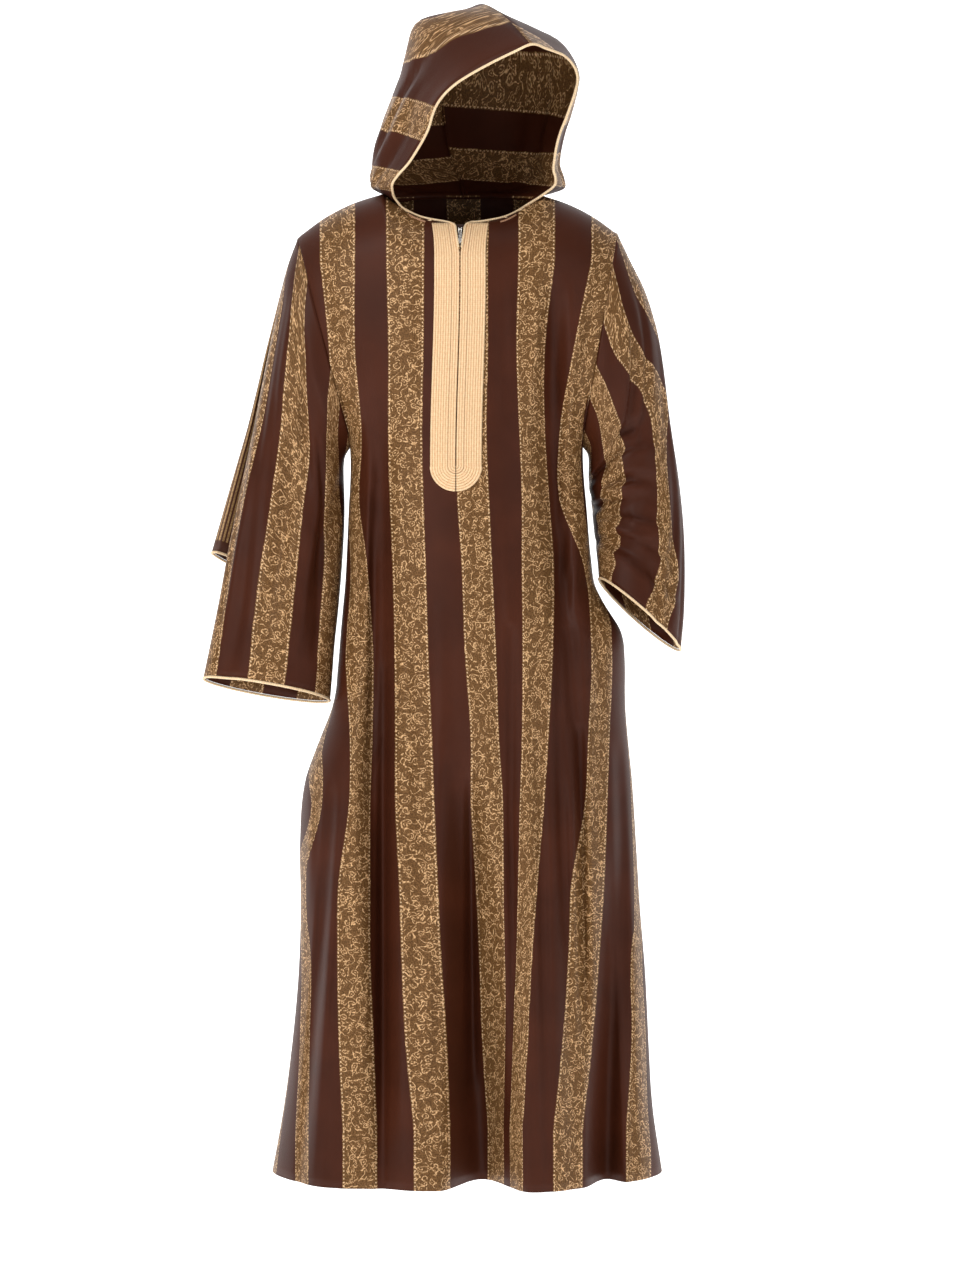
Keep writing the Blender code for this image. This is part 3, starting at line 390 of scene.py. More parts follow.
def pressed(across, along, creases):
    """How far creases press a surface in; each runs from one place to another on it."""
    total = np.zeros(across.shape)
    for a, b, end_a, end_b, width, depth in zip(*creases.values()):
        run_a, run_b = end_a - a, end_b - b
        share = ((across - a) * run_a + (along - b) * run_b) / (run_a ** 2 + run_b ** 2)
        share = np.clip(share, 0, 1)
        away = np.hypot(across - a - share * run_a, along - b - share * run_b) / width
        total += depth * soft(away) * np.sin(math.pi * (CREASE_TAPER + (1 - 2 * CREASE_TAPER) * share))
    return total


def seen(points):
    """Where points seem to be from the camera, on the upright plane through the shoulders."""
    centre = np.array(CAMERA_PLACE)
    nearness = -CAMERA_PLACE[1] / (points[..., 1] - CAMERA_PLACE[1])
    x = centre[0] + (points[..., 0] - centre[0]) * nearness
    z = centre[2] + (points[..., 2] - centre[2]) * nearness
    return x, z


ALLOWANCE = 0.006
CLOTH_THICKNESS = 0.0012
WELD = 1e-6


def seamed(grid, threads, outward, sides):
    """A grid with its seam allowances turned in square along the named sides."""
    normals = normals_of(grid, outward)
    ends = {"top": (0, 0), "bottom": (0, -1), "first": (1, 0), "last": (1, -1)}
    for side in sides:
        axis, end = ends[side]
        turned = np.take(grid, [end], axis) - np.take(normals, [end], axis) * ALLOWANCE
        shift = np.take(threads, [end], axis)
        pick = [0, 1] if end == 0 else [1, 0]
        grid = np.concatenate([(turned, grid)[i] for i in pick], axis)
        threads = np.concatenate([(shift, threads)[i] for i in pick], axis)
        normals = np.concatenate([(np.take(normals, [end], axis), normals)[i] for i in pick], axis)
    return grid, threads


def cloth(name, grid, threads, closed=False, thickness=CLOTH_THICKNESS, inward=1):
    """A thin shell from a grid of points; threads are the weave's own coordinates, in metres."""
    rows, columns = grid.shape[:2]
    mesh = bpy.data.meshes.new(name)
    corners = np.arange(rows * columns).reshape(rows, columns)
    quads = [corners[:-1, :-1], corners[1:, :-1], corners[1:, 1:], corners[:-1, 1:]]
    quads = np.stack(quads, axis=-1).reshape(-1, 4)
    if inward < 0:
        quads = quads[:, ::-1]
    mesh.from_pydata(grid.reshape(-1, 3).tolist(), [], quads.tolist())
    layer = mesh.uv_layers.new(name="fabric")
    layer.data.foreach_set("uv", threads.reshape(-1, 2)[quads.ravel()].astype(np.float32).ravel())
    if closed:
        welded = bmesh.new()
        welded.from_mesh(mesh)
        bmesh.ops.remove_doubles(welded, verts=welded.verts, dist=WELD)
        welded.to_mesh(mesh)
        welded.free()
    mesh.shade_smooth()
    piece = bpy.data.objects.new(name, mesh)
    scene.collection.objects.link(piece)
    if thickness:
        wall = piece.modifiers.new("wall", "SOLIDIFY")
        wall.thickness = thickness
        wall.offset = -1
    return piece


STRIPE = 0.052
# Where the stripes' edges are seen on the front, in millimetres from the neck's middle
STRIPE_EDGES = table("drop e0 e1 e2 e3 e4 e5 e6 e7 e8 e9 e10 e11 e12 e13", (
    (0.089, -316, -262, -209, -156, -110, -53, -1, 42, 87, 142, 196, 247, 298, 349),
    (0.224, -280, -231, -194, -156, -107, -54, -2, 42, 84, 127, 169, 206, 247, 291),
    (0.358, -253, -216, -179, -146, -107, -56, -4, 40, 89, 128, 147, 194, 235, 277),
    (0.447, -238, -206, -174, -150, -105, -54, -4, 44, 92, 134, 148, 194, 235, 276),
    (0.536, -238, -200, -164, -139, -101, -51, 2, 48, 92, 140, 182, 215, 250, 286),
    (0.670, -238, -206, -171, -129, -98, -47, 7, 54, 93, 139, 196, 227, 262, 298),
    (0.805, -244, -206, -164, -130, -97, -41, 16, 59, 92, 132, 191, 223, 268, 304),
    (0.894, -221, -205, -165, -133, -97, -38, 16, 65, 89, 126, 187, 220, 268, 304),
    (1.028, -250, -234, -182, -133, -91, -32, 24, 66, 86, 115, 165, 215, 268, 301),
    (1.117, -235, -223, -183, -133, -88, -28, 28, 68, 84, 108, 162, 209, 256, 277),
    (1.252, -238, -224, -181, -128, -82, -19, 33, 69, 78, 101, 153, 198, 256, 283),
    (1.386, -245, -226, -175, -123, -69, -14, 42, 66, 74, 93, 139, 183, 248, 285),
))
FIRST_EDGE = -6
EDGE_STRIPE = 0.035
CREASE_PLACES = "x drop end_x end_drop width depth"
FRONT_CREASES = table(CREASE_PLACES, (
    (-0.146, 0.340, -0.146, 0.720, 0.014, 0.0100),
    (-0.126, 0.440, -0.130, 0.900, 0.012, 0.0085),
    (-0.108, 0.700, -0.112, 1.440, 0.014, 0.0150),
    (0.140, 0.560, 0.150, 1.080, 0.012, 0.0070),
    (0.018, 0.860, 0.018, 1.300, 0.014, 0.0150),
    (0.176, 0.790, 0.182, 1.230, 0.012, 0.0170),
    (0.161, 0.780, 0.166, 1.240, 0.008, -0.0050),
    (-0.186, 0.880, -0.232, 1.440, 0.013, 0.0150),
    (-0.172, 0.900, -0.212, 1.440, 0.009, -0.0040),
    (0.262, 0.900, 0.284, 1.440, 0.012, 0.0050),
    (-0.205, 0.110, -0.150, 0.420, 0.018, 0.0060),
    (-0.170, 0.150, -0.128, 0.520, 0.022, -0.0045),
    (-0.130, 0.240, -0.098, 0.610, 0.020, 0.0040),
    (-0.090, 0.330, -0.082, 0.760, 0.018, -0.0035),
    (-0.060, 0.500, -0.052, 1.020, 0.026, 0.0030),
    (-0.076, 0.700, -0.080, 1.380, 0.020, -0.0060),
    (-0.135, 0.640, -0.150, 1.200, 0.016, 0.0050),
    (-0.160, 0.820, -0.182, 1.440, 0.022, 0.0070),
    (-0.205, 0.900, -0.236, 1.440, 0.018, 0.0060),
    (-0.222, 0.800, -0.214, 1.180, 0.014, -0.0040),
    (-0.030, 0.620, -0.026, 1.180, 0.022, -0.0035),
    (-0.026, 1.060, -0.040, 1.440, 0.014, 0.0080),
    (0.052, 0.470, 0.068, 1.000, 0.018, 0.0040),
    (0.074, 0.640, 0.078, 1.440, 0.011, 0.0100),
    (0.096, 0.520, 0.104, 1.150, 0.020, -0.0040),
    (0.116, 0.800, 0.128, 1.440, 0.014, 0.0085),
    (0.150, 0.880, 0.166, 1.440, 0.020, 0.0065),
    (0.186, 0.720, 0.192, 1.240, 0.016, -0.0045),
    (0.234, 0.820, 0.252, 1.440, 0.014, 0.0100),
    (0.206, 0.120, 0.160, 0.360, 0.018, 0.0060),
    (0.180, 0.190, 0.150, 0.420, 0.012, -0.0050),
    (0.176, 0.400, 0.146, 0.560, 0.016, 0.0060),
    (0.186, 0.470, 0.160, 0.640, 0.012, -0.0040),
    (0.196, 0.540, 0.205, 0.760, 0.014, 0.0050),
    (0.118, 0.130, 0.110, 0.350, 0.020, -0.0035),
    (0.060, 0.120, 0.064, 0.330, 0.018, 0.0025),
    (-0.052, 0.130, -0.060, 0.380, 0.020, 0.0025),
))


EDGE_SAMPLES = 120
MILLIMETRES = 1000


def edges_at(rows, drops):
    """Where the stripes' edges of a table are seen at an array of drops, in metres."""
    fine = np.linspace(rows["drop"][0], rows["drop"][-1], EDGE_SAMPLES)
    edges = [[curve(rows, name, at) for at in fine] for name in list(rows)[1:]]
    return [np.interp(drops, fine, edge) / MILLIMETRES for edge in edges]


def counted(place, edges, first, outside):
    """How many stripes a place is past the first edge; outside is a stripe's width beyond the edges."""
    count = first + np.minimum(place - edges[0], 0) / outside
    count += np.maximum(place - edges[-1], 0) / outside
    for low, high in zip(edges, edges[1:]):
        count += np.clip((place - low) / (high - low), 0, 1)
    return count


def run_across(grid, start):
    """Distance along each row of a grid from its start column, in metres."""
    steps = np.linalg.norm(np.diff(grid, axis=1), axis=-1)
    run = np.concatenate([np.zeros((len(grid), 1)), np.cumsum(steps, axis=1)], axis=1)
    return run - run[:, start:start + 1]


SIDE_TURN = 0.010


def front_threads(grid):
    """The front panel's weave, from where its stripes are seen, and even where it turns to the sides."""
    x, z = seen(grid)
    across = counted(x, edges_at(STRIPE_EDGES, -z), FIRST_EDGE, EDGE_STRIPE) * STRIPE
    run = run_across(grid, grid.shape[1] // 2)
    for row, place, along in zip(across, x, run):
        facing = (place > place.min() + SIDE_TURN) & (place < place.max() - SIDE_TURN)
        first, last = np.flatnonzero(facing)[[0, -1]]
        row[:first] = row[first] + along[:first] - along[first]
        row[last:] = row[last] + along[last:] - along[last]
    return np.stack([across, -z], axis=-1)


PANEL_FINENESS = 2
PANEL_STEPS = 3
UNDERARM_REACH = 0.11
UNDERARM_PASSES = 60
# Creases fade out over one part in so many of a panel's width and height
SIDE_FADE_PART = 12
TOP_FADE_PART = 20


def ramp_in(part, count):
    """Rises from nought to one over one part in so many of a count of places."""
    return np.minimum(1, np.linspace(0, part, count))


def creased_panel(face, creases):
    """A panel's fine grid, eased at the underarm, its creases pressed in away from its edges."""
    grid = refine(refine(panel_grid(face, PANEL_FINENESS), PANEL_STEPS, 0), PANEL_STEPS, 1)
    grid = relaxed(grid, UNDERARM_DROP, UNDERARM_REACH, UNDERARM_PASSES)
    sides = ramp_in(SIDE_FADE_PART, grid.shape[1])
    fade = np.minimum(sides, sides[::-1]) * ramp_in(TOP_FADE_PART, grid.shape[0])[:, None]
    depth = pressed(grid[..., 0], -grid[..., 2], creases) * fade
    grid[..., 1] += depth if face == "front" else -depth
    return grid


SLIT_TOP_HALF_WIDTH = 0.0148
SLIT_DROP = 0.098
SLIT_EASE = 0.05
front = creased_panel("front", FRONT_CREASES)
threads = front_threads(front)
middle = front.shape[1] // 2
halves = []
for sign, columns in ((-1, slice(0, middle + 1)), (1, slice(middle, None))):
    half = front[:, columns].copy()
    open_width = np.maximum(SLIT_TOP_HALF_WIDTH * (1 + half[..., 2] / SLIT_DROP), 0)
    off = (half[..., 0] - PLACKET_X) * sign
    half[..., 0] = PLACKET_X + sign * (off + open_width * np.clip(1 - off / SLIT_EASE, 0, 1))
    halves.append(half)
right_half = cloth("front_panel", *seamed(halves[0], threads[:, :middle + 1], 1, ["first"]))
left_half = cloth("front_panel_left", *seamed(halves[1], threads[:, middle:], 1, ["last"]))
joined = bmesh.new()
joined.from_mesh(right_half.data)
joined.from_mesh(left_half.data)
bmesh.ops.remove_doubles(joined, verts=joined.verts, dist=WELD)
joined.to_mesh(right_half.data)
joined.free()
bpy.data.objects.remove(left_half)
front_panel = right_half
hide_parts("body_front")
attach(front_panel, "robe")


class Value:
    """A shader number; arithmetic on it adds math nodes."""

    def __init__(self, paint, socket):
        self.paint = paint
        self.socket = socket

    def math(self, operation, *others):
        return self.paint.node("ShaderNodeMath", {"operation": operation}, *([self] + list(others)))[0]

    def __add__(self, other):
        return self.math("ADD", other)

    def __sub__(self, other):
        return self.math("SUBTRACT", other)

    def __mul__(self, other):
        return self.math("MULTIPLY", other)

    def __truediv__(self, other):
        return self.math("DIVIDE", other)

    def __rsub__(self, other):
        return self * -1 + other

    def __abs__(self):
        return self.math("ABSOLUTE")

    def __pow__(self, power):
        return self.math("POWER", power)

    def __mod__(self, step):
        return self.math("FLOORED_MODULO", step)

    __radd__ = __add__
    __rmul__ = __mul__

    def sine(self):
        return self.math("SINE")

    def ramp(self, low, high):
        """Nought below low, one above high, and smooth between."""
        settings = {"interpolation_type": "SMOOTHSTEP"}
        return self.paint.node("ShaderNodeMapRange", settings, self, low, high, 0.0, 1.0)[0]


class Paint:
    """A procedural material that is being put together."""

    def __init__(self, name):
        self.material = bpy.data.materials.new(name)
        self.material.use_nodes = True
        self.tree = self.material.node_tree
        self.shader = self.tree.nodes["Principled BSDF"]

    def plug(self, socket, value):
        if isinstance(value, Value):
            self.tree.links.new(value.socket, socket)
        elif value is not None:
            socket.default_value = value

    def node(self, kind, settings=None, *values, **named):
        """A node with its settings, its inputs in order or by name, and its outputs as values."""
        new = self.tree.nodes.new(kind)
        for setting, value in (settings or {}).items():
            setattr(new, setting, value)
        for socket, value in zip(new.inputs, values):
            self.plug(socket, value)
        for name, value in named.items():
            self.plug(new.inputs[name.replace("_", " ")], value)
        return [Value(self, socket) for socket in new.outputs]

    def mix(self, one, other, share):
        """A colour between two."""
        new = self.tree.nodes.new("ShaderNodeMix")
        new.data_type = "RGBA"
        self.plug(new.inputs[0], share)
        self.plug(new.inputs[6], one)
        self.plug(new.inputs[7], other)
        return Value(self, new.outputs[2])

    def place(self, x, y):
        """A place in a flat pattern, from its coordinates."""
        return self.node("ShaderNodeCombineXYZ", None, x, y, 0.0)[0]

    def grain(self, place, scale, detail=1.0):
        """Unevenness from nought to one, in patches about one part in scale of a metre."""
        noise = self.node("ShaderNodeTexNoise", None, Vector=place, Scale=scale, Detail=detail)[0]
        return noise.ramp(0.3, 0.7)

    def threads(self):
        """The weave's two coordinates, in metres."""
        uv = self.node("ShaderNodeUVMap", {"uv_map": "fabric"})[0]
        return self.node("ShaderNodeSeparateXYZ", None, uv)[:2]

    def bump(self, height, strength, distance):
        """Normals from a height in the pattern's own units."""
        return self.node("ShaderNodeBump", None, Strength=strength, Distance=distance, Height=height)[0]

    def finish(self, **inputs):
        """Sets the shader's inputs by name and hands over the material."""
        for name, value in inputs.items():
            self.plug(self.shader.inputs[name.replace("_", " ")], value)
        return self.material


TWILL_PITCH = 0.0011
RIB_PITCH = 0.0013
BEAD_PITCH = 0.0058
BEAD_INSET = 0.0020
BEAD_RADIUS = 0.0012
BEAD_SHARE = 0.24
EDGE_BLUR = 0.0005


def brocade_threads(paint, u, v):
    """How bright the scrolling thread of the woven gold is at a place: curls, rings and dots."""
    spot = paint.place(u, v)
    sway = paint.node("ShaderNodeTexNoise", None, Vector=spot, Scale=64.0, Detail=1.0)[1]
    swayed = paint.node("ShaderNodeVectorMath", {"operation": "SCALE"}, sway, Scale=0.013)[0]
    moved = paint.node("ShaderNodeVectorMath", {"operation": "ADD"}, spot, swayed)[0]
    flat = {"noise_dimensions": "2D"}
    curls = paint.node("ShaderNodeTexNoise", flat, Vector=moved, Scale=88.0, Detail=0.0)[0]
    worms = 1.0 - abs(curls - 0.5).ramp(0.018, 0.048)
    hooks = paint.node("ShaderNodeTexNoise", flat, Vector=moved, Scale=150.0, Detail=0.0)[0]
    broken = hooks.ramp(0.40, 0.50)
    cells = paint.node("ShaderNodeTexVoronoi", {"voronoi_dimensions": "2D"}, Vector=moved, Scale=80.0)[0]
    rings = (1.0 - abs(cells - 0.30).ramp(0.03, 0.09)) * (1.0 - hooks.ramp(0.52, 0.60))
    knots = 1.0 - cells.ramp(0.05, 0.11)
    return (worms * broken).math("MAXIMUM", rings * 0.9).math("MAXIMUM", knots * 0.8)


def striped_satin():
    """Brown satin with woven gold stripes, their scrolling thread and their dotted edges, and glints
    painted on the gold.
    """
    paint = Paint("striped_satin")
    u, v = paint.threads()
    from_centre = abs((u / (2 * STRIPE) - 0.25 + 0.5) % 1.0 - 0.5) * (2 * STRIPE)
    inside = 0.5 * STRIPE - from_centre
    gold = inside.ramp(-EDGE_BLUR, EDGE_BLUR)
    bright = brocade_threads(paint, u, v)
    spot = paint.place(u, v)
    flat = {"noise_dimensions": "2D"}
    # Painted glint: fine spots where the gold thread and its ground are painted brighter, standing in for
    # light sparkling on metal thread
    painted_glint = paint.node("ShaderNodeTexNoise", flat, Vector=spot, Scale=420.0, Detail=1.0)[0]
    painted_glint = painted_glint.ramp(0.35, 0.65)
    bead_run = (v / BEAD_PITCH) % 1.0 - 0.5
    bead = ((inside - BEAD_INSET) / BEAD_RADIUS) ** 2.0 + (bead_run / BEAD_SHARE) ** 2.0
    bead = bead.math("SQRT")
    beads = (1.0 - bead.ramp(0.6, 1.1)) * gold
    ribs = (u * (2 * math.pi / RIB_PITCH)).sine() * 0.5 + 0.5
    twill = ((u + v) * (2 * math.pi / TWILL_PITCH)).sine() * 0.5 + 0.5
    cloudy = paint.grain(spot, 9.0, 3.0)
    brown = paint.mix((0.047, 0.0110, 0.0040, 1), (0.066, 0.0155, 0.0058, 1), cloudy)
    brown = paint.mix(brown, (0.036, 0.008, 0.003, 1), twill * 0.25)
    ground = paint.mix((0.082, 0.036, 0.011, 1), (0.200, 0.098, 0.034, 1), ribs * 0.35 + painted_glint * 0.65)
    thread = paint.mix((0.36, 0.190, 0.078, 1), (0.90, 0.57, 0.29, 1), painted_glint)
    brocade = paint.mix(ground, thread, bright * 0.85)
    brocade = paint.mix(brocade, (0.90, 0.62, 0.36, 1), beads * 0.8)
    colour = paint.mix(brown, brocade, gold)
    height = gold * (bright * 0.6 + beads * 1.0 + ribs * 0.2 + 0.3) + twill * 0.12
    roughness = 0.50 - gold * 0.04 - gold * bright * 0.10
    return paint.finish(Base_Color=colour, Roughness=roughness, Normal=paint.bump(height, 0.5, 0.0006),
                        Specular_IOR_Level=0.14)


SATIN = striped_satin()
front_panel.data.materials.append(SATIN)


# Back panel of the body
#
# The same satin on the straight grain, a trapezoid without an opening, sewn to the front panel at
# the shoulders and sides.  It hangs in long folds that widen down to the hem.
BACK_CREASES = table(CREASE_PLACES, (
    (-0.190, 0.090, -0.120, 0.480, 0.024, 0.0060),
    (-0.150, 0.260, -0.118, 0.720, 0.020, -0.0045),
    (-0.110, 0.120, -0.090, 0.560, 0.026, 0.0035),
    (-0.060, 0.100, -0.052, 0.660, 0.022, -0.0030),
    (-0.030, 0.520, -0.040, 1.220, 0.024, 0.0050),
    (0.030, 0.080, 0.026, 0.540, 0.024, 0.0030),
    (0.052, 0.600, 0.060, 1.420, 0.022, -0.0050),
    (0.086, 0.160, 0.092, 0.640, 0.020, 0.0045),
    (0.140, 0.300, 0.126, 0.900, 0.024, 0.0055),
    (0.186, 0.110, 0.140, 0.440, 0.022, 0.0055),
    (0.170, 0.620, 0.186, 1.360, 0.018, -0.0050),
    (-0.118, 0.720, -0.136, 1.440, 0.020, 0.0060),
    (-0.196, 0.760, -0.222, 1.440, 0.018, 0.0055),
    (0.226, 0.840, 0.250, 1.440, 0.016, 0.0050),
    (-0.080, 0.880, -0.094, 1.360, 0.016, -0.0045),
))
back = creased_panel("back", BACK_CREASES)


def run_down(grid):
    """Distance down a grid from its first row, the mean of its columns, in metres."""
    steps = np.linalg.norm(np.diff(grid, axis=0), axis=-1).mean(axis=1)
    return np.concatenate([[0], np.cumsum(steps)])[:, None] + np.zeros(grid.shape[:2])


threads = np.stack([run_across(back, back.shape[1] // 2) + STRIPE / 2, -back[..., 2]], axis=-1)
back_panel = cloth("back_panel", *seamed(back, threads, -1, ["top", "first", "last"]), inward=-1)
back_panel.data.materials.append(SATIN)
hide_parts("body_back")
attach(back_panel, "robe")


# Sleeves
#
# Wide tubes of the same satin, tapering to the cuffs, their stripes running lengthwise, sewn
# into the armholes.  The left one is pushed up and crumples along its inner side.
SLEEVE_COLUMNS = "row outer_x outer_z inner_x inner_z half_depth centre_y tilt"
SLEEVES = {
    "right": table(SLEEVE_COLUMNS, (
        (0, -0.241, -0.057, -0.160, -0.365, 0.085, 0.000, 0.000),
        (1, -0.258, -0.104, -0.170, -0.380, 0.086, 0.000, 0.000),
        (2, -0.270, -0.157, -0.173, -0.395, 0.085, 0.002, 0.000),
        (3, -0.283, -0.216, -0.173, -0.417, 0.083, 0.003, 0.000),
        (4, -0.295, -0.276, -0.172, -0.447, 0.081, 0.003, 0.001),
        (5, -0.306, -0.334, -0.172, -0.477, 0.078, 0.002, 0.002),
        (6, -0.319, -0.395, -0.174, -0.521, 0.074, 0.000, 0.003),
        (7, -0.331, -0.455, -0.177, -0.566, 0.070, -0.004, 0.004),
        (8, -0.344, -0.521, -0.181, -0.614, 0.066, -0.010, 0.006),
        (9, -0.356, -0.590, -0.186, -0.663, 0.062, -0.016, 0.008),
        (10, -0.368, -0.652, -0.189, -0.705, 0.059, -0.020, 0.010),
        (11, -0.380, -0.711, -0.192, -0.743, 0.057, -0.024, 0.011))),
    "left": table(SLEEVE_COLUMNS, (
        (0, 0.234, -0.050, 0.180, -0.365, 0.085, 0.000, 0.000),
        (1, 0.254, -0.092, 0.190, -0.378, 0.087, 0.000, 0.000),
        (2, 0.275, -0.134, 0.192, -0.390, 0.086, 0.003, 0.000),
        (3, 0.290, -0.179, 0.192, -0.402, 0.084, 0.007, 0.000),
        (4, 0.299, -0.224, 0.192, -0.414, 0.082, 0.011, 0.000),
        (5, 0.306, -0.276, 0.193, -0.428, 0.080, 0.016, 0.001),
        (6, 0.313, -0.328, 0.195, -0.443, 0.080, 0.020, 0.002),
        (7, 0.322, -0.380, 0.197, -0.460, 0.080, 0.020, 0.003),
        (8, 0.329, -0.432, 0.199, -0.479, 0.080, 0.016, 0.004),
        (9, 0.334, -0.492, 0.201, -0.500, 0.078, 0.008, 0.005),
        (10, 0.335, -0.551, 0.203, -0.522, 0.075, -0.004, 0.007),
        (11, 0.333, -0.615, 0.205, -0.544, 0.072, -0.016, 0.009),
        (12, 0.328, -0.668, 0.206, -0.563, 0.070, -0.024, 0.010))),
}
CREASE_COLUMNS = "angle row end_angle end_row width depth"
SLEEVE_CREASES = {
    "right": table(CREASE_COLUMNS, (
        (100, 2.0, 75, 9.0, 0.030, 0.012),
        (62, 4.0, 48, 11.5, 0.028, 0.010),
        (-70, 2.5, -95, 10.5, 0.030, 0.012),
        (165, 3.0, 120, 8.5, 0.026, 0.009))),
    "left": table(CREASE_COLUMNS, (
        (-170, 4.5, -75, 6.0, 0.028, 0.015),
        (-172, 7.0, -62, 8.2, 0.028, 0.018),
        (-168, 9.4, -70, 10.4, 0.026, 0.014),
        (170, 6.0, 95, 7.0, 0.030, 0.013),
        (-60, 2.5, -88, 5.2, 0.026, 0.009),
        (160, 9.5, 60, 10.2, 0.030, 0.010))),
}
SLEEVE_DEGREE = 0.0013
SLEEVE_ROW = 0.045
CREASE_END = 0.35
CREASE_FADE_ROWS = 1.5


def armhole_plane(side):
    """Unit vector square to the armhole, pointing out along the sleeve."""
    x, z = SHOULDER_POINT[side]
    down = unit(np.array((UNDERARM_X[side] - x, 0, -UNDERARM_DROP - z)))
    out = np.array((-down[2], 0, down[0]))
    return out if side == "left" else -out


def crease_depth(creases, angle, row):
    """How far the creases press a sleeve in at an angle (degrees) and a row."""
    total = 0
    for a, r, end_a, end_r, width, depth in zip(*creases.values()):
        run = np.array(((end_a - a) * SLEEVE_DEGREE, (end_r - r) * SLEEVE_ROW))
        turn = (angle - a + 180) % 360 - 180
        place = np.array((turn * SLEEVE_DEGREE, (row - r) * SLEEVE_ROW))
        share = min(max(float(place @ run / (run @ run)), 0), 1)
        away = np.linalg.norm(place - share * run) / width
        total += depth * bell(away) * (CREASE_END + (1 - CREASE_END) * math.sin(math.pi * share))
    return total


def sleeve_point(side, angle, row):
    """Point of a sleeve's outer side; angle 0 is its outer edge, in degrees."""
    rings = SLEEVES[side]
    outer = np.array((curve(rings, "outer_x", row), 0, curve(rings, "outer_z", row)))
    inner = np.array((curve(rings, "inner_x", row), 0, curve(rings, "inner_z", row)))
    turn = -1 if side == "right" else 1
    across = math.cos(math.radians(angle))
    round_ = math.sin(math.radians(angle))
    depth = curve(rings, "half_depth", row)
    point = (outer + inner) / 2 + (outer - inner) / 2 * across
    centre = (outer + inner) / 2
    centre[1] = curve(rings, "centre_y", row)
    point[1] = centre[1] + turn * depth * round_
    point[2] -= turn * round_ * curve(rings, "tilt", row)
    inwards = crease_depth(SLEEVE_CREASES[side], angle, row) * min(1, row / CREASE_FADE_ROWS)
    return point + unit(centre - point) * inwards


# Smaller creases: metres round from the outer edge, the front positive, and metres down the sleeve
ROUND_PLACES = "round down end_round end_down width depth"
SMALL_CREASES = {
    "right": table(ROUND_PLACES, (
        (0.045, 0.060, 0.060, 0.420, 0.018, 0.0035),
        (0.085, 0.030, 0.100, 0.300, 0.022, -0.0040),
        (0.120, 0.180, 0.112, 0.470, 0.020, 0.0050),
        (0.150, 0.050, 0.170, 0.260, 0.020, 0.0055),
        (0.175, 0.200, 0.158, 0.470, 0.018, -0.0050),
        (0.200, 0.120, 0.190, 0.460, 0.016, 0.0055),
        (0.072, 0.300, 0.080, 0.480, 0.016, -0.0035),
        (0.020, 0.240, 0.030, 0.480, 0.016, 0.0035),
        (-0.050, 0.050, -0.070, 0.400, 0.022, 0.0045),
        (-0.100, 0.120, -0.120, 0.460, 0.024, 0.0050),
        (-0.150, 0.040, -0.160, 0.300, 0.022, -0.0045),
        (-0.190, 0.180, -0.176, 0.460, 0.020, 0.0050))),
    "left": table(ROUND_PLACES, (
        (0.060, 0.050, 0.110, 0.200, 0.018, 0.0050),
        (0.110, 0.060, 0.150, 0.150, 0.016, 0.0055),
        (0.095, 0.170, 0.185, 0.130, 0.014, 0.0110),
        (0.085, 0.205, 0.180, 0.165, 0.012, -0.0080),
        (0.080, 0.250, 0.178, 0.195, 0.014, 0.0130),
        (0.120, 0.255, 0.186, 0.225, 0.010, -0.0080),
        (0.075, 0.300, 0.170, 0.255, 0.014, 0.0130),
        (0.110, 0.330, 0.180, 0.285, 0.011, -0.0075),
        (0.060, 0.345, 0.165, 0.320, 0.013, 0.0105),
        (0.130, 0.220, 0.190, 0.196, 0.008, 0.0080),
        (0.132, 0.290, 0.190, 0.258, 0.008, 0.0085),
        (0.040, 0.385, 0.120, 0.372, 0.012, 0.0060),
        (0.045, 0.250, 0.070, 0.420, 0.016, 0.0045),
        (0.095, 0.350, 0.090, 0.440, 0.014, 0.0050),
        (0.020, 0.100, 0.036, 0.260, 0.016, -0.0035),
        (0.024, 0.300, 0.030, 0.440, 0.012, 0.0035),
        (-0.050, 0.060, -0.090, 0.260, 0.020, 0.0050),
        (-0.080, 0.270, -0.170, 0.220, 0.016, 0.0075),
        (-0.070, 0.330, -0.165, 0.290, 0.014, -0.0060),
        (-0.100, 0.370, -0.160, 0.350, 0.014, 0.0060),
        (-0.150, 0.060, -0.170, 0.190, 0.018, 0.0050))),
}
# Where the stripes' edges are seen on the sleeves' fronts, in millimetres, the outer edge first
SLEEVE_EDGES = {
    "right": table("drop e0 e1 e2", (
        (0.050, -239, -229, -200), (0.120, -246, -229, -196), (0.179, -251, -231, -192),
        (0.268, -260, -229, -194), (0.358, -267, -224, -199), (0.447, -281, -232, -200),
        (0.536, -296, -241, -201), (0.670, -312, -255, -211), (0.740, -318, -262, -216))),
    "left": table("drop e0 e1 e2", (
        (0.050, -222, -196, -150), (0.110, -232, -196, -150), (0.179, -249, -214, -168),
        (0.223, -271, -225, -190), (0.268, -300, -258, -214), (0.313, -308, -283, -232),
        (0.358, -307, -288, -246), (0.402, -308, -293, -244), (0.447, -313, -298, -240),
        (0.492, -318, -293, -236), (0.536, -325, -303, -233), (0.581, -327, -289, -220),
        (0.626, -312, -261, -205), (0.668, -300, -246, -194))),
}
TURN_STEP = 3
ROW_STEP = 0.2
EDGE_SMOOTHING = np.ones(7) / 7
NARROWEST_STRIPE = 0.010
CREASES_FROM = 0.05


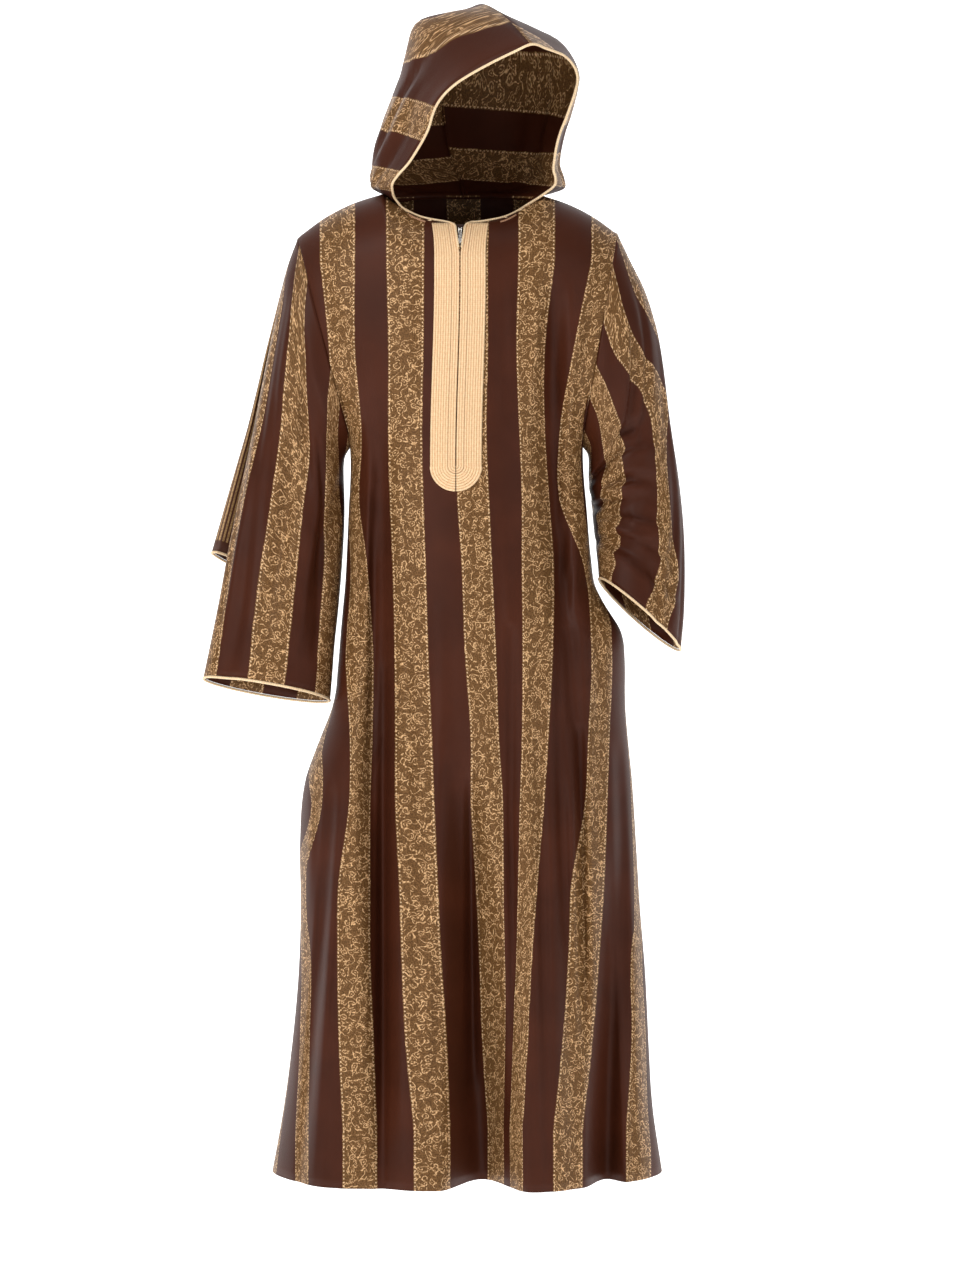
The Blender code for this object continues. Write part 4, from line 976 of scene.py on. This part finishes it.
def sleeve_threads(side, grid):
    """The weave's coordinates round a sleeve, from where its stripes are seen on its front."""
    sign = 1 if side == "right" else -1
    x, z = seen(grid)
    outer = grid.shape[1] // 2
    run = run_across(grid, outer) * sign
    front = slice(outer, None) if side == "right" else slice(outer, None, -1)
    places = []
    for edge in edges_at(SLEEVE_EDGES[side], -z):
        past = np.maximum.accumulate((x * sign - edge)[:, front], axis=1)
        place = np.array([np.interp(0, row, along) for row, along in zip(past, run[:, front])])
        ends = np.pad(place, len(EDGE_SMOOTHING) // 2, mode="edge")
        places.append(np.convolve(ends, EDGE_SMOOTHING, mode="valid")[:, None])
    for low, high in zip(places, places[1:]):
        high += np.maximum(NARROWEST_STRIPE - (high - low), 0)
    return np.stack([counted(run, places, 0, STRIPE) * STRIPE, run_down(grid)], axis=-1)


sleeves = {}
for side, sign in (("right", 1), ("left", -1)):
    angles = np.arange(-180, 180.1, TURN_STEP)
    last = SLEEVES[side]["row"][-1]
    sleeve = np.array([[sleeve_point(side, angle, row) for angle in angles]
                       for row in np.linspace(0, last, round(last / ROW_STEP) + 1)])
    sleeve[0] += armhole_plane(side) * SEAM_GAP
    threads = sleeve_threads(side, sleeve)
    down = run_down(sleeve)
    depth = pressed(run_across(sleeve, sleeve.shape[1] // 2) * sign, down, SMALL_CREASES[side])
    depth *= np.minimum(1, down / CREASES_FROM)
    sleeve -= normals_of(sleeve, 1) * depth[..., None]
    sleeves[side] = sleeve
    piece = cloth(f"sleeve_cloth_{side}", *seamed(sleeve, threads, 1, ["top"]), closed=True)
    piece.data.materials.append(SATIN)
    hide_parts(f"sleeve_{side}")
    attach(piece, "robe")


# Over-sleeve behind the right sleeve
#
# A short piece of finely striped cloth, folded double round the back of the sleeve, its hem turned
# up plain and edged with piping, sewn into the armhole with the sleeve.
OVER_SLEEVE = table("row front_offset back_offset", (
    (1, 0.0005, 0.0110), (2, 0.0020, 0.0120), (3, 0.0030, 0.0145), (4, 0.0036, 0.0175),
    (5, 0.0045, 0.0220), (6, 0.0060, 0.0280), (7, 0.0080, 0.0350), (8, 0.0105, 0.0430),
))
OVER_SLEEVE_ANGLE_STEP = 6
OVER_SLEEVE_ROW_STEP = 0.2
OVER_SLEEVE_PATH = table("angle back_share", (
    (-112.5, 0), (-90, 0), (-67.5, 0), (-45, 0), (-31, 0.04), (-22, 0.26), (-18, 0.50), (-20, 0.76),
    (-29, 0.97), (-45, 1), (-67.5, 1), (-90, 1), (-112.5, 1),
))
OVER_HEM = 0.015
OVER_SLEEVE_STEPS = 5
PIN_STRIPE = 0.0062


def over_sleeve_point(angle, back_share, row):
    """Point of the over-sleeve, standing off the right sleeve at an angle and a row."""
    offset = curve(OVER_SLEEVE, "front_offset", row) * (1 - back_share)
    offset += curve(OVER_SLEEVE, "back_offset", row) * back_share
    turn, step = OVER_SLEEVE_ANGLE_STEP, OVER_SLEEVE_ROW_STEP
    across = sleeve_point("right", angle + turn, row) - sleeve_point("right", angle - turn, row)
    down = sleeve_point("right", angle, row + step) - sleeve_point("right", angle, row - step)
    return sleeve_point("right", angle, row) + unit(np.cross(down, across)) * offset


def pinstriped_satin(length):
    """Fine gold and brown stripes down the cloth, and a plain brown hem."""
    paint = Paint("pinstriped_satin")
    u, v = paint.threads()
    across = abs((u / PIN_STRIPE) % 1.0 - 0.5) * 2
    above_hem = 1.0 - (v - (length - OVER_HEM)).ramp(-EDGE_BLUR, EDGE_BLUR)
    gold = across.ramp(0.35, 0.60) * above_hem
    grain = paint.grain(paint.place(u, v), 380.0)
    twill = ((u + v) * (2 * math.pi / TWILL_PITCH)).sine() * 0.5 + 0.5
    brown = paint.mix((0.052, 0.014, 0.006, 1), (0.080, 0.023, 0.010, 1), twill)
    thread = paint.mix((0.25, 0.135, 0.050, 1), (0.52, 0.32, 0.14, 1), grain)
    return paint.finish(Base_Color=paint.mix(brown, thread, gold), Roughness=0.5,
                        Normal=paint.bump(gold * 0.6 + twill * 0.2, 0.5, 0.0005))


over = np.array([[over_sleeve_point(angle, share, row) for angle, share in zip(*OVER_SLEEVE_PATH.values())]
                 for row in OVER_SLEEVE["row"]])
over = refine(refine(over, OVER_SLEEVE_STEPS, 0), OVER_SLEEVE_STEPS, 1)
down = run_down(over)
threads = np.stack([run_across(over, over.shape[1] // 2), down], axis=-1)
over_sleeve = cloth("over_sleeve_cloth", over, threads, inward=-1)
over_sleeve.data.materials.append(pinstriped_satin(down.max()))
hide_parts("over_sleeve")
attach(over_sleeve, "robe")


# Hood
#
# Two halves of the same satin, their stripes running from the face edge to the back, joined by a
# centre seam over the crown and set on the neckline.
HOOD_ROWS = 15
HOOD_CORNER_STEP = 5
HOOD_COLUMNS = "rise edge_x edge_y edge_z side_x side_y side_z rear_x rear_y rear_z"
HOOD_SIDES = {
    "right": table(HOOD_COLUMNS, (
        (0.12, -0.101, -0.084, 0.010, -0.131, -0.020, 0.014, -0.095, 0.062, 0.028),
        (0.28, -0.074, -0.110, 0.042, -0.130, -0.016, 0.054, -0.104, 0.078, 0.070),
        (0.44, -0.049, -0.122, 0.082, -0.119, -0.010, 0.098, -0.105, 0.086, 0.116),
        (0.60, -0.034, -0.128, 0.122, -0.098, -0.010, 0.143, -0.094, 0.086, 0.160),
        (0.75, -0.004, -0.141, 0.152, -0.079, -0.012, 0.190, -0.078, 0.078, 0.203),
        (0.89, 0.053, -0.160, 0.182, -0.047, -0.018, 0.267, -0.048, 0.062, 0.265))),
    "left": table(HOOD_COLUMNS, (
        (0.12, 0.139, -0.064, 0.010, 0.154, 0.000, 0.016, 0.104, 0.074, 0.030),
        (0.28, 0.139, -0.071, 0.038, 0.147, 0.006, 0.056, 0.092, 0.092, 0.072),
        (0.44, 0.146, -0.075, 0.080, 0.153, 0.010, 0.098, 0.090, 0.098, 0.118),
        (0.60, 0.163, -0.079, 0.126, 0.166, 0.008, 0.144, 0.092, 0.098, 0.162),
        (0.75, 0.173, -0.087, 0.170, 0.170, 0.000, 0.190, 0.090, 0.092, 0.206),
        (0.89, 0.150, -0.116, 0.197, 0.138, -0.012, 0.240, 0.074, 0.078, 0.246))),
}
HOOD_BACK = table("rise x y z", (
    (0.12, 0.000, 0.092, 0.040), (0.28, -0.016, 0.112, 0.084), (0.44, -0.024, 0.124, 0.130),
    (0.60, -0.028, 0.128, 0.172), (0.75, -0.026, 0.124, 0.214), (0.89, -0.018, 0.110, 0.258),
    (1.00, -0.008, 0.092, 0.278),
))
HOOD_TOP = table("along x y z", (
    (0.00, 0.102, -0.170, 0.203), (0.30, 0.066, -0.088, 0.257), (0.62, 0.030, 0.000, 0.292),
    (1.00, -0.008, 0.092, 0.278),
))
HOOD_SIDEWAYS = np.array((0.934, 0.358, 0.0))
# How many stripes a place is above the lowest edge, by rise, at five places from face edge to back
HOOD_WEAVE_PLACES = (0.00, 0.17, 0.33, 0.50, 1.00)
HOOD_WEAVE = {
    "right": table("rise w0 w1 w2 w3 w4", (
        (0.00, -0.60, -0.65, -0.70, -0.70, -0.70), (0.12, 0.30, 0.17, 0.05, 0.00, 0.00),
        (0.28, 1.40, 1.17, 1.10, 1.05, 1.10), (0.44, 2.25, 2.00, 1.92, 1.90, 2.00),
        (0.60, 3.05, 2.88, 2.78, 2.80, 2.85), (0.75, 3.35, 3.56, 3.84, 3.90, 3.70),
        (0.82, 3.48, 3.95, 4.40, 4.60, 4.20), (0.89, 3.65, 4.02, 4.98, 5.25, 4.80),
        (1.00, 3.80, 3.92, 4.15, 4.90, 5.90))),
    "left": table("rise w0 w1 w2 w3 w4", (
        (0.00, -0.80, -0.80, -0.80, -0.80, -0.80), (0.13, 0.00, 0.00, 0.00, 0.00, 0.00),
        (0.36, 1.00, 1.05, 1.10, 1.15, 1.20), (0.50, 2.00, 1.95, 1.90, 1.85, 1.80),
        (0.78, 3.00, 2.95, 2.90, 2.80, 2.70), (0.91, 4.00, 3.70, 3.40, 3.20, 2.90),
        (1.00, 4.60, 4.10, 3.75, 3.40, 3.00))),
}
HOOD_CREASES = {
    "right": table(ROUND_PLACES, (
        (0.110, 0.060, 0.128, 0.270, 0.016, 0.0070),
        (0.084, 0.080, 0.092, 0.230, 0.014, -0.0045),
        (0.050, 0.030, 0.060, 0.170, 0.016, 0.0045),
        (0.150, 0.020, 0.170, 0.180, 0.022, 0.0055),
        (0.020, 0.120, 0.034, 0.240, 0.012, 0.0030),
        (0.210, 0.050, 0.220, 0.230, 0.024, -0.0055),
        (0.070, 0.000, 0.086, 0.080, 0.012, 0.0055),
        (0.120, 0.000, 0.130, 0.070, 0.013, 0.0055))),
    "left": table(ROUND_PLACES, (
        (0.040, 0.020, 0.052, 0.200, 0.018, 0.0050),
        (0.090, 0.030, 0.104, 0.240, 0.020, -0.0050),
        (0.130, 0.060, 0.140, 0.230, 0.018, 0.0055),
        (0.180, 0.010, 0.176, 0.150, 0.020, 0.0050),
        (0.070, 0.000, 0.078, 0.070, 0.012, 0.0050))),
}


def point_rows(places, points):
    """A table of points by their places along a curve."""
    points = np.asarray(points)
    return {"along": np.asarray(places), "x": points[:, 0], "y": points[:, 1], "z": points[:, 2]}


def point_at(rows, at):
    """Point on the smooth curve through a table's points."""
    return np.array([curve(rows, axis, at) for axis in "xyz"])


def hood_neckline(side, front_rows, back_rows):
    """Neckline points of one side, from the hood's front corner to the centre back."""
    middle = (front_rows.shape[1] - 1) // 2
    steps = len(NECK_STEPS["front"])
    sign = -1 if side == "right" else 1
    front_points = [front_rows[0, middle + sign * (1 + i)] for i in range(HOOD_CORNER_STEP + 1, steps + 1)]
    middle = (back_rows.shape[1] - 1) // 2
    back_points = [back_rows[0, middle + sign * i] for i in range(len(NECK_STEPS["back"]) - 1, -1, -1)]
    return np.array(front_points + back_points)


def hood_grid(side, neckline):
    """Outer points of a hood half: rows rise from the neckline, columns run to the back."""
    sides = HOOD_SIDES[side]
    last = len(neckline) - 1
    grid = np.zeros((HOOD_ROWS + 1, last + 1, 3))
    for j, low in enumerate(neckline):
        v = j / last
        knots = [low + (0, 0, SEAM_GAP)]
        for i, rise in enumerate(sides["rise"]):
            places = [[sides[f"{spot}_{axis}"][i] for axis in "xyz"] for spot in ("edge", "side", "rear")]
            places.append(point_at(HOOD_BACK, rise))
            knots.append(point_at(point_rows(np.linspace(0, 1, len(places)), places), v))
        knots.append(point_at(HOOD_TOP, v))
        rows = point_rows([0, *sides["rise"], 1], knots)
        for i in range(HOOD_ROWS + 1):
            grid[i, j] = point_at(rows, i / HOOD_ROWS)
    shift = HOOD_SIDEWAYS * SEAM_GAP / 2 * (-1 if side == "right" else 1)
    grid[-1] += shift
    grid[:-1, -1] += shift
    return grid


def hood_threads(side, grid):
    """The weave's coordinates on a hood half: stripes by rise and place, the thread's run across."""
    weave = HOOD_WEAVE[side]
    rises = np.linspace(0, 1, grid.shape[0])
    names = list(weave)[1:]
    columns = np.array([[curve(weave, name, rise) for name in names] for rise in rises])
    across = np.linspace(0, 1, grid.shape[1])
    count = np.array([np.interp(across, HOOD_WEAVE_PLACES, row) for row in columns])
    return np.stack([count * STRIPE, run_across(grid, 0)], axis=-1)


# The hood's neckline allowance is pressed in and down behind the panels' edges
TUCK_DEPTH = 0.0022
TUCK_DROP = 0.010
HOOD_STEPS = 4
FACE_FADE_PART = 8
NECK_FADE_PART = 10
coarse_front = panel_grid("front", 1)
coarse_back = panel_grid("back", 1)
hoods = {}
for side, sign in (("right", 1), ("left", -1)):
    half = hood_grid(side, hood_neckline(side, coarse_front, coarse_back))
    half = refine(refine(half, HOOD_STEPS, 0), HOOD_STEPS, 1)
    threads = hood_threads(side, half)
    depth = pressed(run_across(half, 0), run_down(half), HOOD_CREASES[side])
    edges = ramp_in(FACE_FADE_PART, half.shape[1])
    depth *= np.minimum(edges, edges[::-1])
    rows_in = ramp_in(NECK_FADE_PART, half.shape[0])[:, None]
    depth *= np.minimum(rows_in, rows_in[::-1])
    half -= normals_of(half, sign) * depth[..., None]
    hoods[side] = half
    inside = half[:1] - normals_of(half, sign)[:1] * TUCK_DEPTH
    half = np.concatenate([inside - (0, 0, TUCK_DROP), inside, half])
    threads = np.concatenate([threads[:1], threads[:1], threads])
    piece = cloth(f"hood_cloth_{side}", *seamed(half, threads, sign, ["bottom", "last"]), inward=sign)
    piece.data.materials.append(SATIN)
    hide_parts(f"hood_{side}")
    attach(piece, "robe")


# Placket
#
# Two halves of cream braid, rows of it sewn side by side round the slit in nested U shapes, on a
# narrow stay; the halves meet under the slit and flare a little at the neck.
PLACKET_HALF_WIDTH = 0.0375
PLACKET_FLARE = 0.004
PLACKET_SWAY = -0.0060
PLACKET_BOTTOM_DROP = 0.441
PLACKET_TOP_DROP = 0.047
PLACKET_LIFT = 0.0006
BRAID_ROWS = 10
BRAID_STEPS = 6
BRAID_HEIGHT = 0.0019
BRAID_BODY = 0.0010
BRAID_STRAIGHT_ROWS = 96
BRAID_BEND_ROWS = 22
BRAID_EDGE = 40
BRAID_ROUNDNESS = 0.7
SWAY_FROM = 0.12
FLARE_REACH = 0.05
LOOK_HALF_WIDTH = 0.060
LOOK_DROPS = (0.030, 0.470)
LOOK_COLUMNS = 49
LOOK_ROWS = 221
look_x = np.linspace(PLACKET_X - LOOK_HALF_WIDTH, PLACKET_X + LOOK_HALF_WIDTH, LOOK_COLUMNS)
look_z = np.linspace(-LOOK_DROPS[1], -LOOK_DROPS[0], LOOK_ROWS)
look_y = np.array([np.interp(-look_z, [-np.interp(x, row[:, 0], row[:, 2]) for row in front],
                             [np.interp(x, row[:, 0], row[:, 1]) for row in front]) for x in look_x])


def front_y(x, z):
    """How far forward the front panel is at x and z, near the placket."""
    i = np.clip((x - look_x[0]) / (look_x[1] - look_x[0]), 0, len(look_x) - 1.001)
    j = np.clip((z - look_z[0]) / (look_z[1] - look_z[0]), 0, len(look_z) - 1.001)
    low_i, low_j = i.astype(int), j.astype(int)
    p, q = i - low_i, j - low_j
    low = look_y[low_i, low_j] * (1 - p) + look_y[low_i + 1, low_j] * p
    high = look_y[low_i, low_j + 1] * (1 - p) + look_y[low_i + 1, low_j + 1] * p
    return low * (1 - q) + high * q


def cream_braid():
    """Cream cord in rows, each plaited, with dull sewn seams between them."""
    paint = Paint("cream_braid")
    u, v = paint.threads()
    row = u / (PLACKET_HALF_WIDTH / BRAID_ROWS)
    across = abs(row % 1.0 - 0.5) * 2
    seam = across.ramp(0.72, 0.98)
    third = 1.0 - abs(row - 3.0).ramp(0.06, 0.18)
    plait = ((v * (2 * math.pi / 0.0030)) + across * 2.4).sine() * 0.5 + 0.5
    grain = paint.grain(paint.place(u, v), 260.0, 2.0)
    cream = paint.mix((0.78, 0.50, 0.27, 1), (0.90, 0.66, 0.40, 1), grain * 0.6 + plait * 0.4)
    colour = paint.mix(cream, (0.62, 0.34, 0.15, 1), seam * 0.6)
    colour = paint.mix(colour, (0.34, 0.15, 0.06, 1), third * 0.75)
    return paint.finish(Base_Color=colour, Roughness=0.62,
                        Normal=paint.bump(plait * (1.0 - seam), 0.35, 0.0004))


BRAID = cream_braid()
for side, sign in (("right", -1), ("left", 1)):
    radii = np.linspace(0, 1, BRAID_ROWS * BRAID_STEPS + 1)
    centre_drop = PLACKET_BOTTOM_DROP - PLACKET_HALF_WIDTH
    straight = np.linspace(PLACKET_TOP_DROP, centre_drop, BRAID_STRAIGHT_ROWS)
    arc = np.linspace(0, math.pi / 2, BRAID_BEND_ROWS)[1:]
    sway = soft(np.clip(1 - (straight - SWAY_FROM) / (centre_drop - SWAY_FROM), 0, 1)) * PLACKET_SWAY
    flare = PLACKET_FLARE * np.clip(1 - (straight - PLACKET_TOP_DROP) / FLARE_REACH, 0, 1) ** 2
    gap = np.maximum(SLIT_TOP_HALF_WIDTH * (1 - straight / SLIT_DROP), 2 * SEAM_GAP)
    x = gap[:, None] + radii * (PLACKET_HALF_WIDTH + flare - gap)[:, None]
    x = PLACKET_X + sway[:, None] + sign * x
    z = -straight[:, None] + 0 * x
    bend_x = radii * PLACKET_HALF_WIDTH * np.cos(arc)[:, None] + 2 * SEAM_GAP
    bend_z = -centre_drop - radii * PLACKET_HALF_WIDTH * np.sin(arc)[:, None]
    x = np.concatenate([x, PLACKET_X + sway[-1] + sign * bend_x])
    z = np.concatenate([z, bend_z])
    ridge = np.abs(np.sin(math.pi * BRAID_ROWS * radii)) ** BRAID_ROUNDNESS
    lift = PLACKET_LIFT + BRAID_BODY + BRAID_HEIGHT * ridge * np.minimum(1, (1 - radii) * BRAID_EDGE)
    braid = np.stack([x, front_y(x, z) - lift, z], axis=-1)
    along = np.concatenate([straight, centre_drop + arc * PLACKET_HALF_WIDTH / 2])[:, None] + 0 * x
    threads = np.stack([radii * PLACKET_HALF_WIDTH + 0 * x, along], axis=-1)
    piece = cloth(f"braid_{side}", braid, threads, thickness=BRAID_BODY, inward=sign)
    piece.data.materials.append(BRAID)
    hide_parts(f"placket_{side}")
    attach(piece, "robe")


# Pipings
#
# Round cream cords in a narrow binding along the hood's face edge, the neckline, the cuffs and
# the over-sleeve's hem, sewn to the cloth's edge, and a thin one under the neckline, painted darker as
# shade.
PIPING_RADIUS = 0.0019
PIPING_GAP = 0.0005
THIN_PIPING_RADIUS = 0.0013
PIPING_SIDES = 10
# A direction that none of the cords runs along
ASIDE = (0.2, 0.3, 1.0)


def cream_piping(name, light, dark):
    """A smooth cord in a bias binding, with the faint twist of the cord under it."""
    paint = Paint(name)
    u, v = paint.threads()
    twist = ((v / 0.0034 + u) * (2 * math.pi)).sine() * 0.5 + 0.5
    grain = paint.grain(paint.place(u * 0.01, v), 300.0, 2.0)
    return paint.finish(Base_Color=paint.mix(dark, light, twist * 0.5 + grain * 0.5), Roughness=0.55,
                        Normal=paint.bump(twist, 0.35, 0.0005))


PIPING = cream_piping("cream_piping", (0.92, 0.72, 0.46, 1), (0.74, 0.50, 0.28, 1))
# Painted shade: the thin cord under the neckline is the same cream cord, painted darker for the shade it
# lies in
SHADED_PIPING = cream_piping("shaded_piping", (0.50, 0.27, 0.15, 1), (0.32, 0.15, 0.08, 1))


def smooth_path(points, count, closed=False):
    """Points along a smooth curve through a list of points."""
    points = np.asarray(points)
    if closed:
        points = np.concatenate([points[-3:], points, points[:4]])
    keys = np.concatenate([[0], np.cumsum(np.linalg.norm(np.diff(points, axis=0), axis=-1))])
    rows = point_rows(keys, points)
    start, end = (keys[3], keys[-4]) if closed else (0, keys[-1])
    return np.array([point_at(rows, at) for at in np.linspace(start, end, count)])


def edge_path(edge, normals, next_in, radius, closed=False):
    """Path of a piping that lies along the middle of a cloth's edge."""
    middle = edge - normals * CLOTH_THICKNESS / 2
    if closed:
        run = np.roll(edge, -1, axis=0) - np.roll(edge, 1, axis=0)
    else:
        run = np.gradient(edge, axis=0)
    out = unit(np.cross(normals, run))
    out *= np.sign(np.sum(out * (edge - next_in), axis=-1, keepdims=True))
    return middle + out * (radius + PIPING_GAP)


def add_piping(name, path, radius, finish, nodes, closed=False):
    """A round cord along a path, with its twist's coordinates, standing for CAD nodes."""
    if closed:
        path = np.concatenate([path, path[:1]]) if np.linalg.norm(path[0] - path[-1]) > 1e-6 else path
    run = unit(np.gradient(path, axis=0))
    if closed:
        run[0] = run[-1] = unit(path[1] - path[-2])
    side = unit(np.cross(run, np.array(ASIDE)))
    over_side = np.cross(run, side)
    turns = np.linspace(0, 2 * math.pi, PIPING_SIDES + 1)
    ring = np.cos(turns)[:, None] * side[:, None] + np.sin(turns)[:, None] * over_side[:, None]
    grid = path[:, None] + radius * ring
    length = np.concatenate([[0], np.cumsum(np.linalg.norm(np.diff(path, axis=0), axis=-1))])
    if not closed:
        grid = np.concatenate([grid[:1] * 0 + path[0], grid, grid[-1:] * 0 + path[-1]])
        length = np.concatenate([length[:1], length, length[-1:]])
    around = turns / (2 * math.pi)
    threads = np.stack(np.broadcast_arrays(around[None, :], length[:, None]), axis=-1)
    piece = cloth(name, grid, threads, closed=True, thickness=0, inward=-1)
    piece.data.materials.append(finish)
    if nodes:
        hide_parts(*nodes)
    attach(piece, "robe")
    return piece


for side in ("right", "left"):
    sleeve = sleeves[side][:, :-1]
    rim = edge_path(sleeve[-1], normals_of(sleeve, 1)[-1], sleeve[-2], PIPING_RADIUS, closed=True)
    add_piping(f"cuff_cord_{side}", rim, PIPING_RADIUS, PIPING, [f"cuff_piping_{side}"], closed=True)
rim = edge_path(over[-1], normals_of(over, -1)[-1], over[-2], PIPING_RADIUS)
add_piping("over_sleeve_cord", rim, PIPING_RADIUS, PIPING, ["over_sleeve_piping"])

# The neckline's cords turn down beside the slit, and each has a short loop at the hood's corner
SLIT_CORD_DROPS = (0.052, 0.062, 0.074, 0.086)
SLIT_CORD_OUT = 0.0006
SLIT_CORD_HALF_GAP = 0.0008
SLIT_CORD_LIFT = 0.0040
NECK_CORD_FROM = 0.016
LOOP_LIFT = 0.0035
THIN_CORD_LIFT = 0.0009
LOOP_REACH = {"right": 0.052, "left": 0.032}
LOOP_DROP = 0.009
THIN_CORD_SHARE = 0.2
NECK_CORD_RADIUS = PIPING_RADIUS * 0.9
LOOP_RADIUS = PIPING_RADIUS * 0.8
NECK_CORD_POINTS = 120
LOOP_POINTS = 60
THIN_CORD_POINTS = 50
FACE_CORD_POINTS = 300
around, tips = {}, {}
for side, sign in (("right", -1), ("left", 1)):
    middle = front.shape[1] // 2
    panel, out = ((grid[:, :middle + 1][:, ::-1] if side == "right" else grid[:, middle:])
                  for grid in (front, normals_of(front, 1)))
    reach = PANEL_FINENESS * PANEL_STEPS
    picks = slice(reach, reach * (HOOD_CORNER_STEP + 2), 3)
    path = edge_path(panel[0, picks], out[0, picks], panel[1, picks], PIPING_RADIUS)
    path = path[np.abs(path[:, 0] - PLACKET_X) > NECK_CORD_FROM]
    slit = []
    for drop in SLIT_CORD_DROPS:
        open_width = max(SLIT_TOP_HALF_WIDTH * (1 - drop / SLIT_DROP), SLIT_CORD_HALF_GAP)
        x = PLACKET_X + sign * (open_width + SLIT_CORD_OUT)
        slit.append((x, float(front_y(np.array(x), np.array(-drop))) - SLIT_CORD_LIFT, -drop))
    half = hoods[side]
    face = edge_path(half[:, 0], normals_of(half, -sign)[:, 0], half[:, 1], PIPING_RADIUS)
    around[side] = [path[-1], *face[3:-2:2]]
    tips[side] = face[-1]
    add_piping(f"neck_line_{side}", smooth_path([*slit[::-1], *path], NECK_CORD_POINTS),
               NECK_CORD_RADIUS, PIPING, [f"neck_cord_{side}"])
    below = []
    for point in path:
        share = abs(point[0] - path[-1][0]) / LOOP_REACH[side]
        if share <= 1:
            below.append(point - (0, LOOP_LIFT, LOOP_DROP * bell(2 * share - 1)))
    add_piping(f"corner_loop_{side}", smooth_path(below, LOOP_POINTS), LOOP_RADIUS, PIPING, [])
    thin = slice(reach * 4, reach * (HOOD_CORNER_STEP + 1), 3)
    low = panel[0, thin] * (1 - THIN_CORD_SHARE) + panel[reach, thin] * THIN_CORD_SHARE
    low = low + unit(out[0, thin] + out[3, thin]) * (THIN_PIPING_RADIUS + THIN_CORD_LIFT)
    add_piping(f"thin_cord_{side}", smooth_path(low, THIN_CORD_POINTS), THIN_PIPING_RADIUS,
               SHADED_PIPING, [f"neck_piping_{side}"])
peak = (tips["right"] + tips["left"]) / 2
face_line = smooth_path([*around["right"], peak, *around["left"][::-1]], FACE_CORD_POINTS)
add_piping("face_cord", face_line, PIPING_RADIUS, PIPING, ["hood_piping"])


# Zip
#
# A woven brown tape behind the slit with a row of small nickel teeth on each edge, and a cast
# slider whose pull tab hangs over the braid.
def woven_tape():
    """Brown tape in a fine herringbone."""
    paint = Paint("brown_tape")
    place = paint.node("ShaderNodeTexCoord")[3]
    x, _, z = paint.node("ShaderNodeSeparateXYZ", None, place)
    bone = ((abs(x % 0.002 - 0.001) + z) * (2 * math.pi / 0.0012)).sine() * 0.5 + 0.5
    colour = paint.mix((0.020, 0.008, 0.006, 1), (0.050, 0.020, 0.014, 1), bone)
    return paint.finish(Base_Color=colour, Roughness=0.8, Normal=paint.bump(bone, 0.4, 0.0003))


def nickel():
    """Cast nickel plate, a little rubbed."""
    paint = Paint("nickel")
    place = paint.node("ShaderNodeTexCoord")[3]
    rubbed = paint.node("ShaderNodeTexNoise", None, Vector=place, Scale=420.0, Detail=3.0)[0]
    colour = paint.mix((0.50, 0.48, 0.45, 1), (0.74, 0.72, 0.68, 1), rubbed.ramp(0.3, 0.7))
    return paint.finish(Base_Color=colour, Metallic=1.0, Roughness=rubbed * 0.25 + 0.18,
                        Normal=paint.bump(rubbed, 0.15, 0.0002))


NICKEL = nickel()
for name, finish in (("zip_tape", woven_tape()), ("zip_slider", NICKEL), ("zip_pull", NICKEL)):
    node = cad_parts[name]
    node.data.materials.clear()
    node.data.materials.append(finish)

TOOTH = (0.0022, 0.0012, 0.0010)
TOOTH_PITCH = 0.0021
TEETH = 14
TEETH_TOP_DROP = 0.066
TEETH_SHARE = 0.6
TEETH_HALF_GAP = 0.0012
TEETH_BEHIND = 0.0026
teeth = bmesh.new()
for sign in (-1, 1):
    for i in range(TEETH):
        drop = TEETH_TOP_DROP + i * TOOTH_PITCH
        open_width = SLIT_TOP_HALF_WIDTH * (1 - drop / SLIT_DROP)
        x = PLACKET_X + sign * max(open_width * TEETH_SHARE, TEETH_HALF_GAP)
        y = float(front_y(np.array(x), np.array(-drop))) + TEETH_BEHIND
        size = Matrix.Diagonal((*TOOTH, 1))
        bmesh.ops.create_cube(teeth, size=1, matrix=Matrix.Translation((x, y, -drop)) @ size)
mesh = bpy.data.meshes.new("zip_teeth")
teeth.to_mesh(mesh)
teeth.free()
zip_teeth = bpy.data.objects.new("zip_teeth", mesh)
scene.collection.objects.link(zip_teeth)
mesh.materials.append(NICKEL)
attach(zip_teeth, "robe")
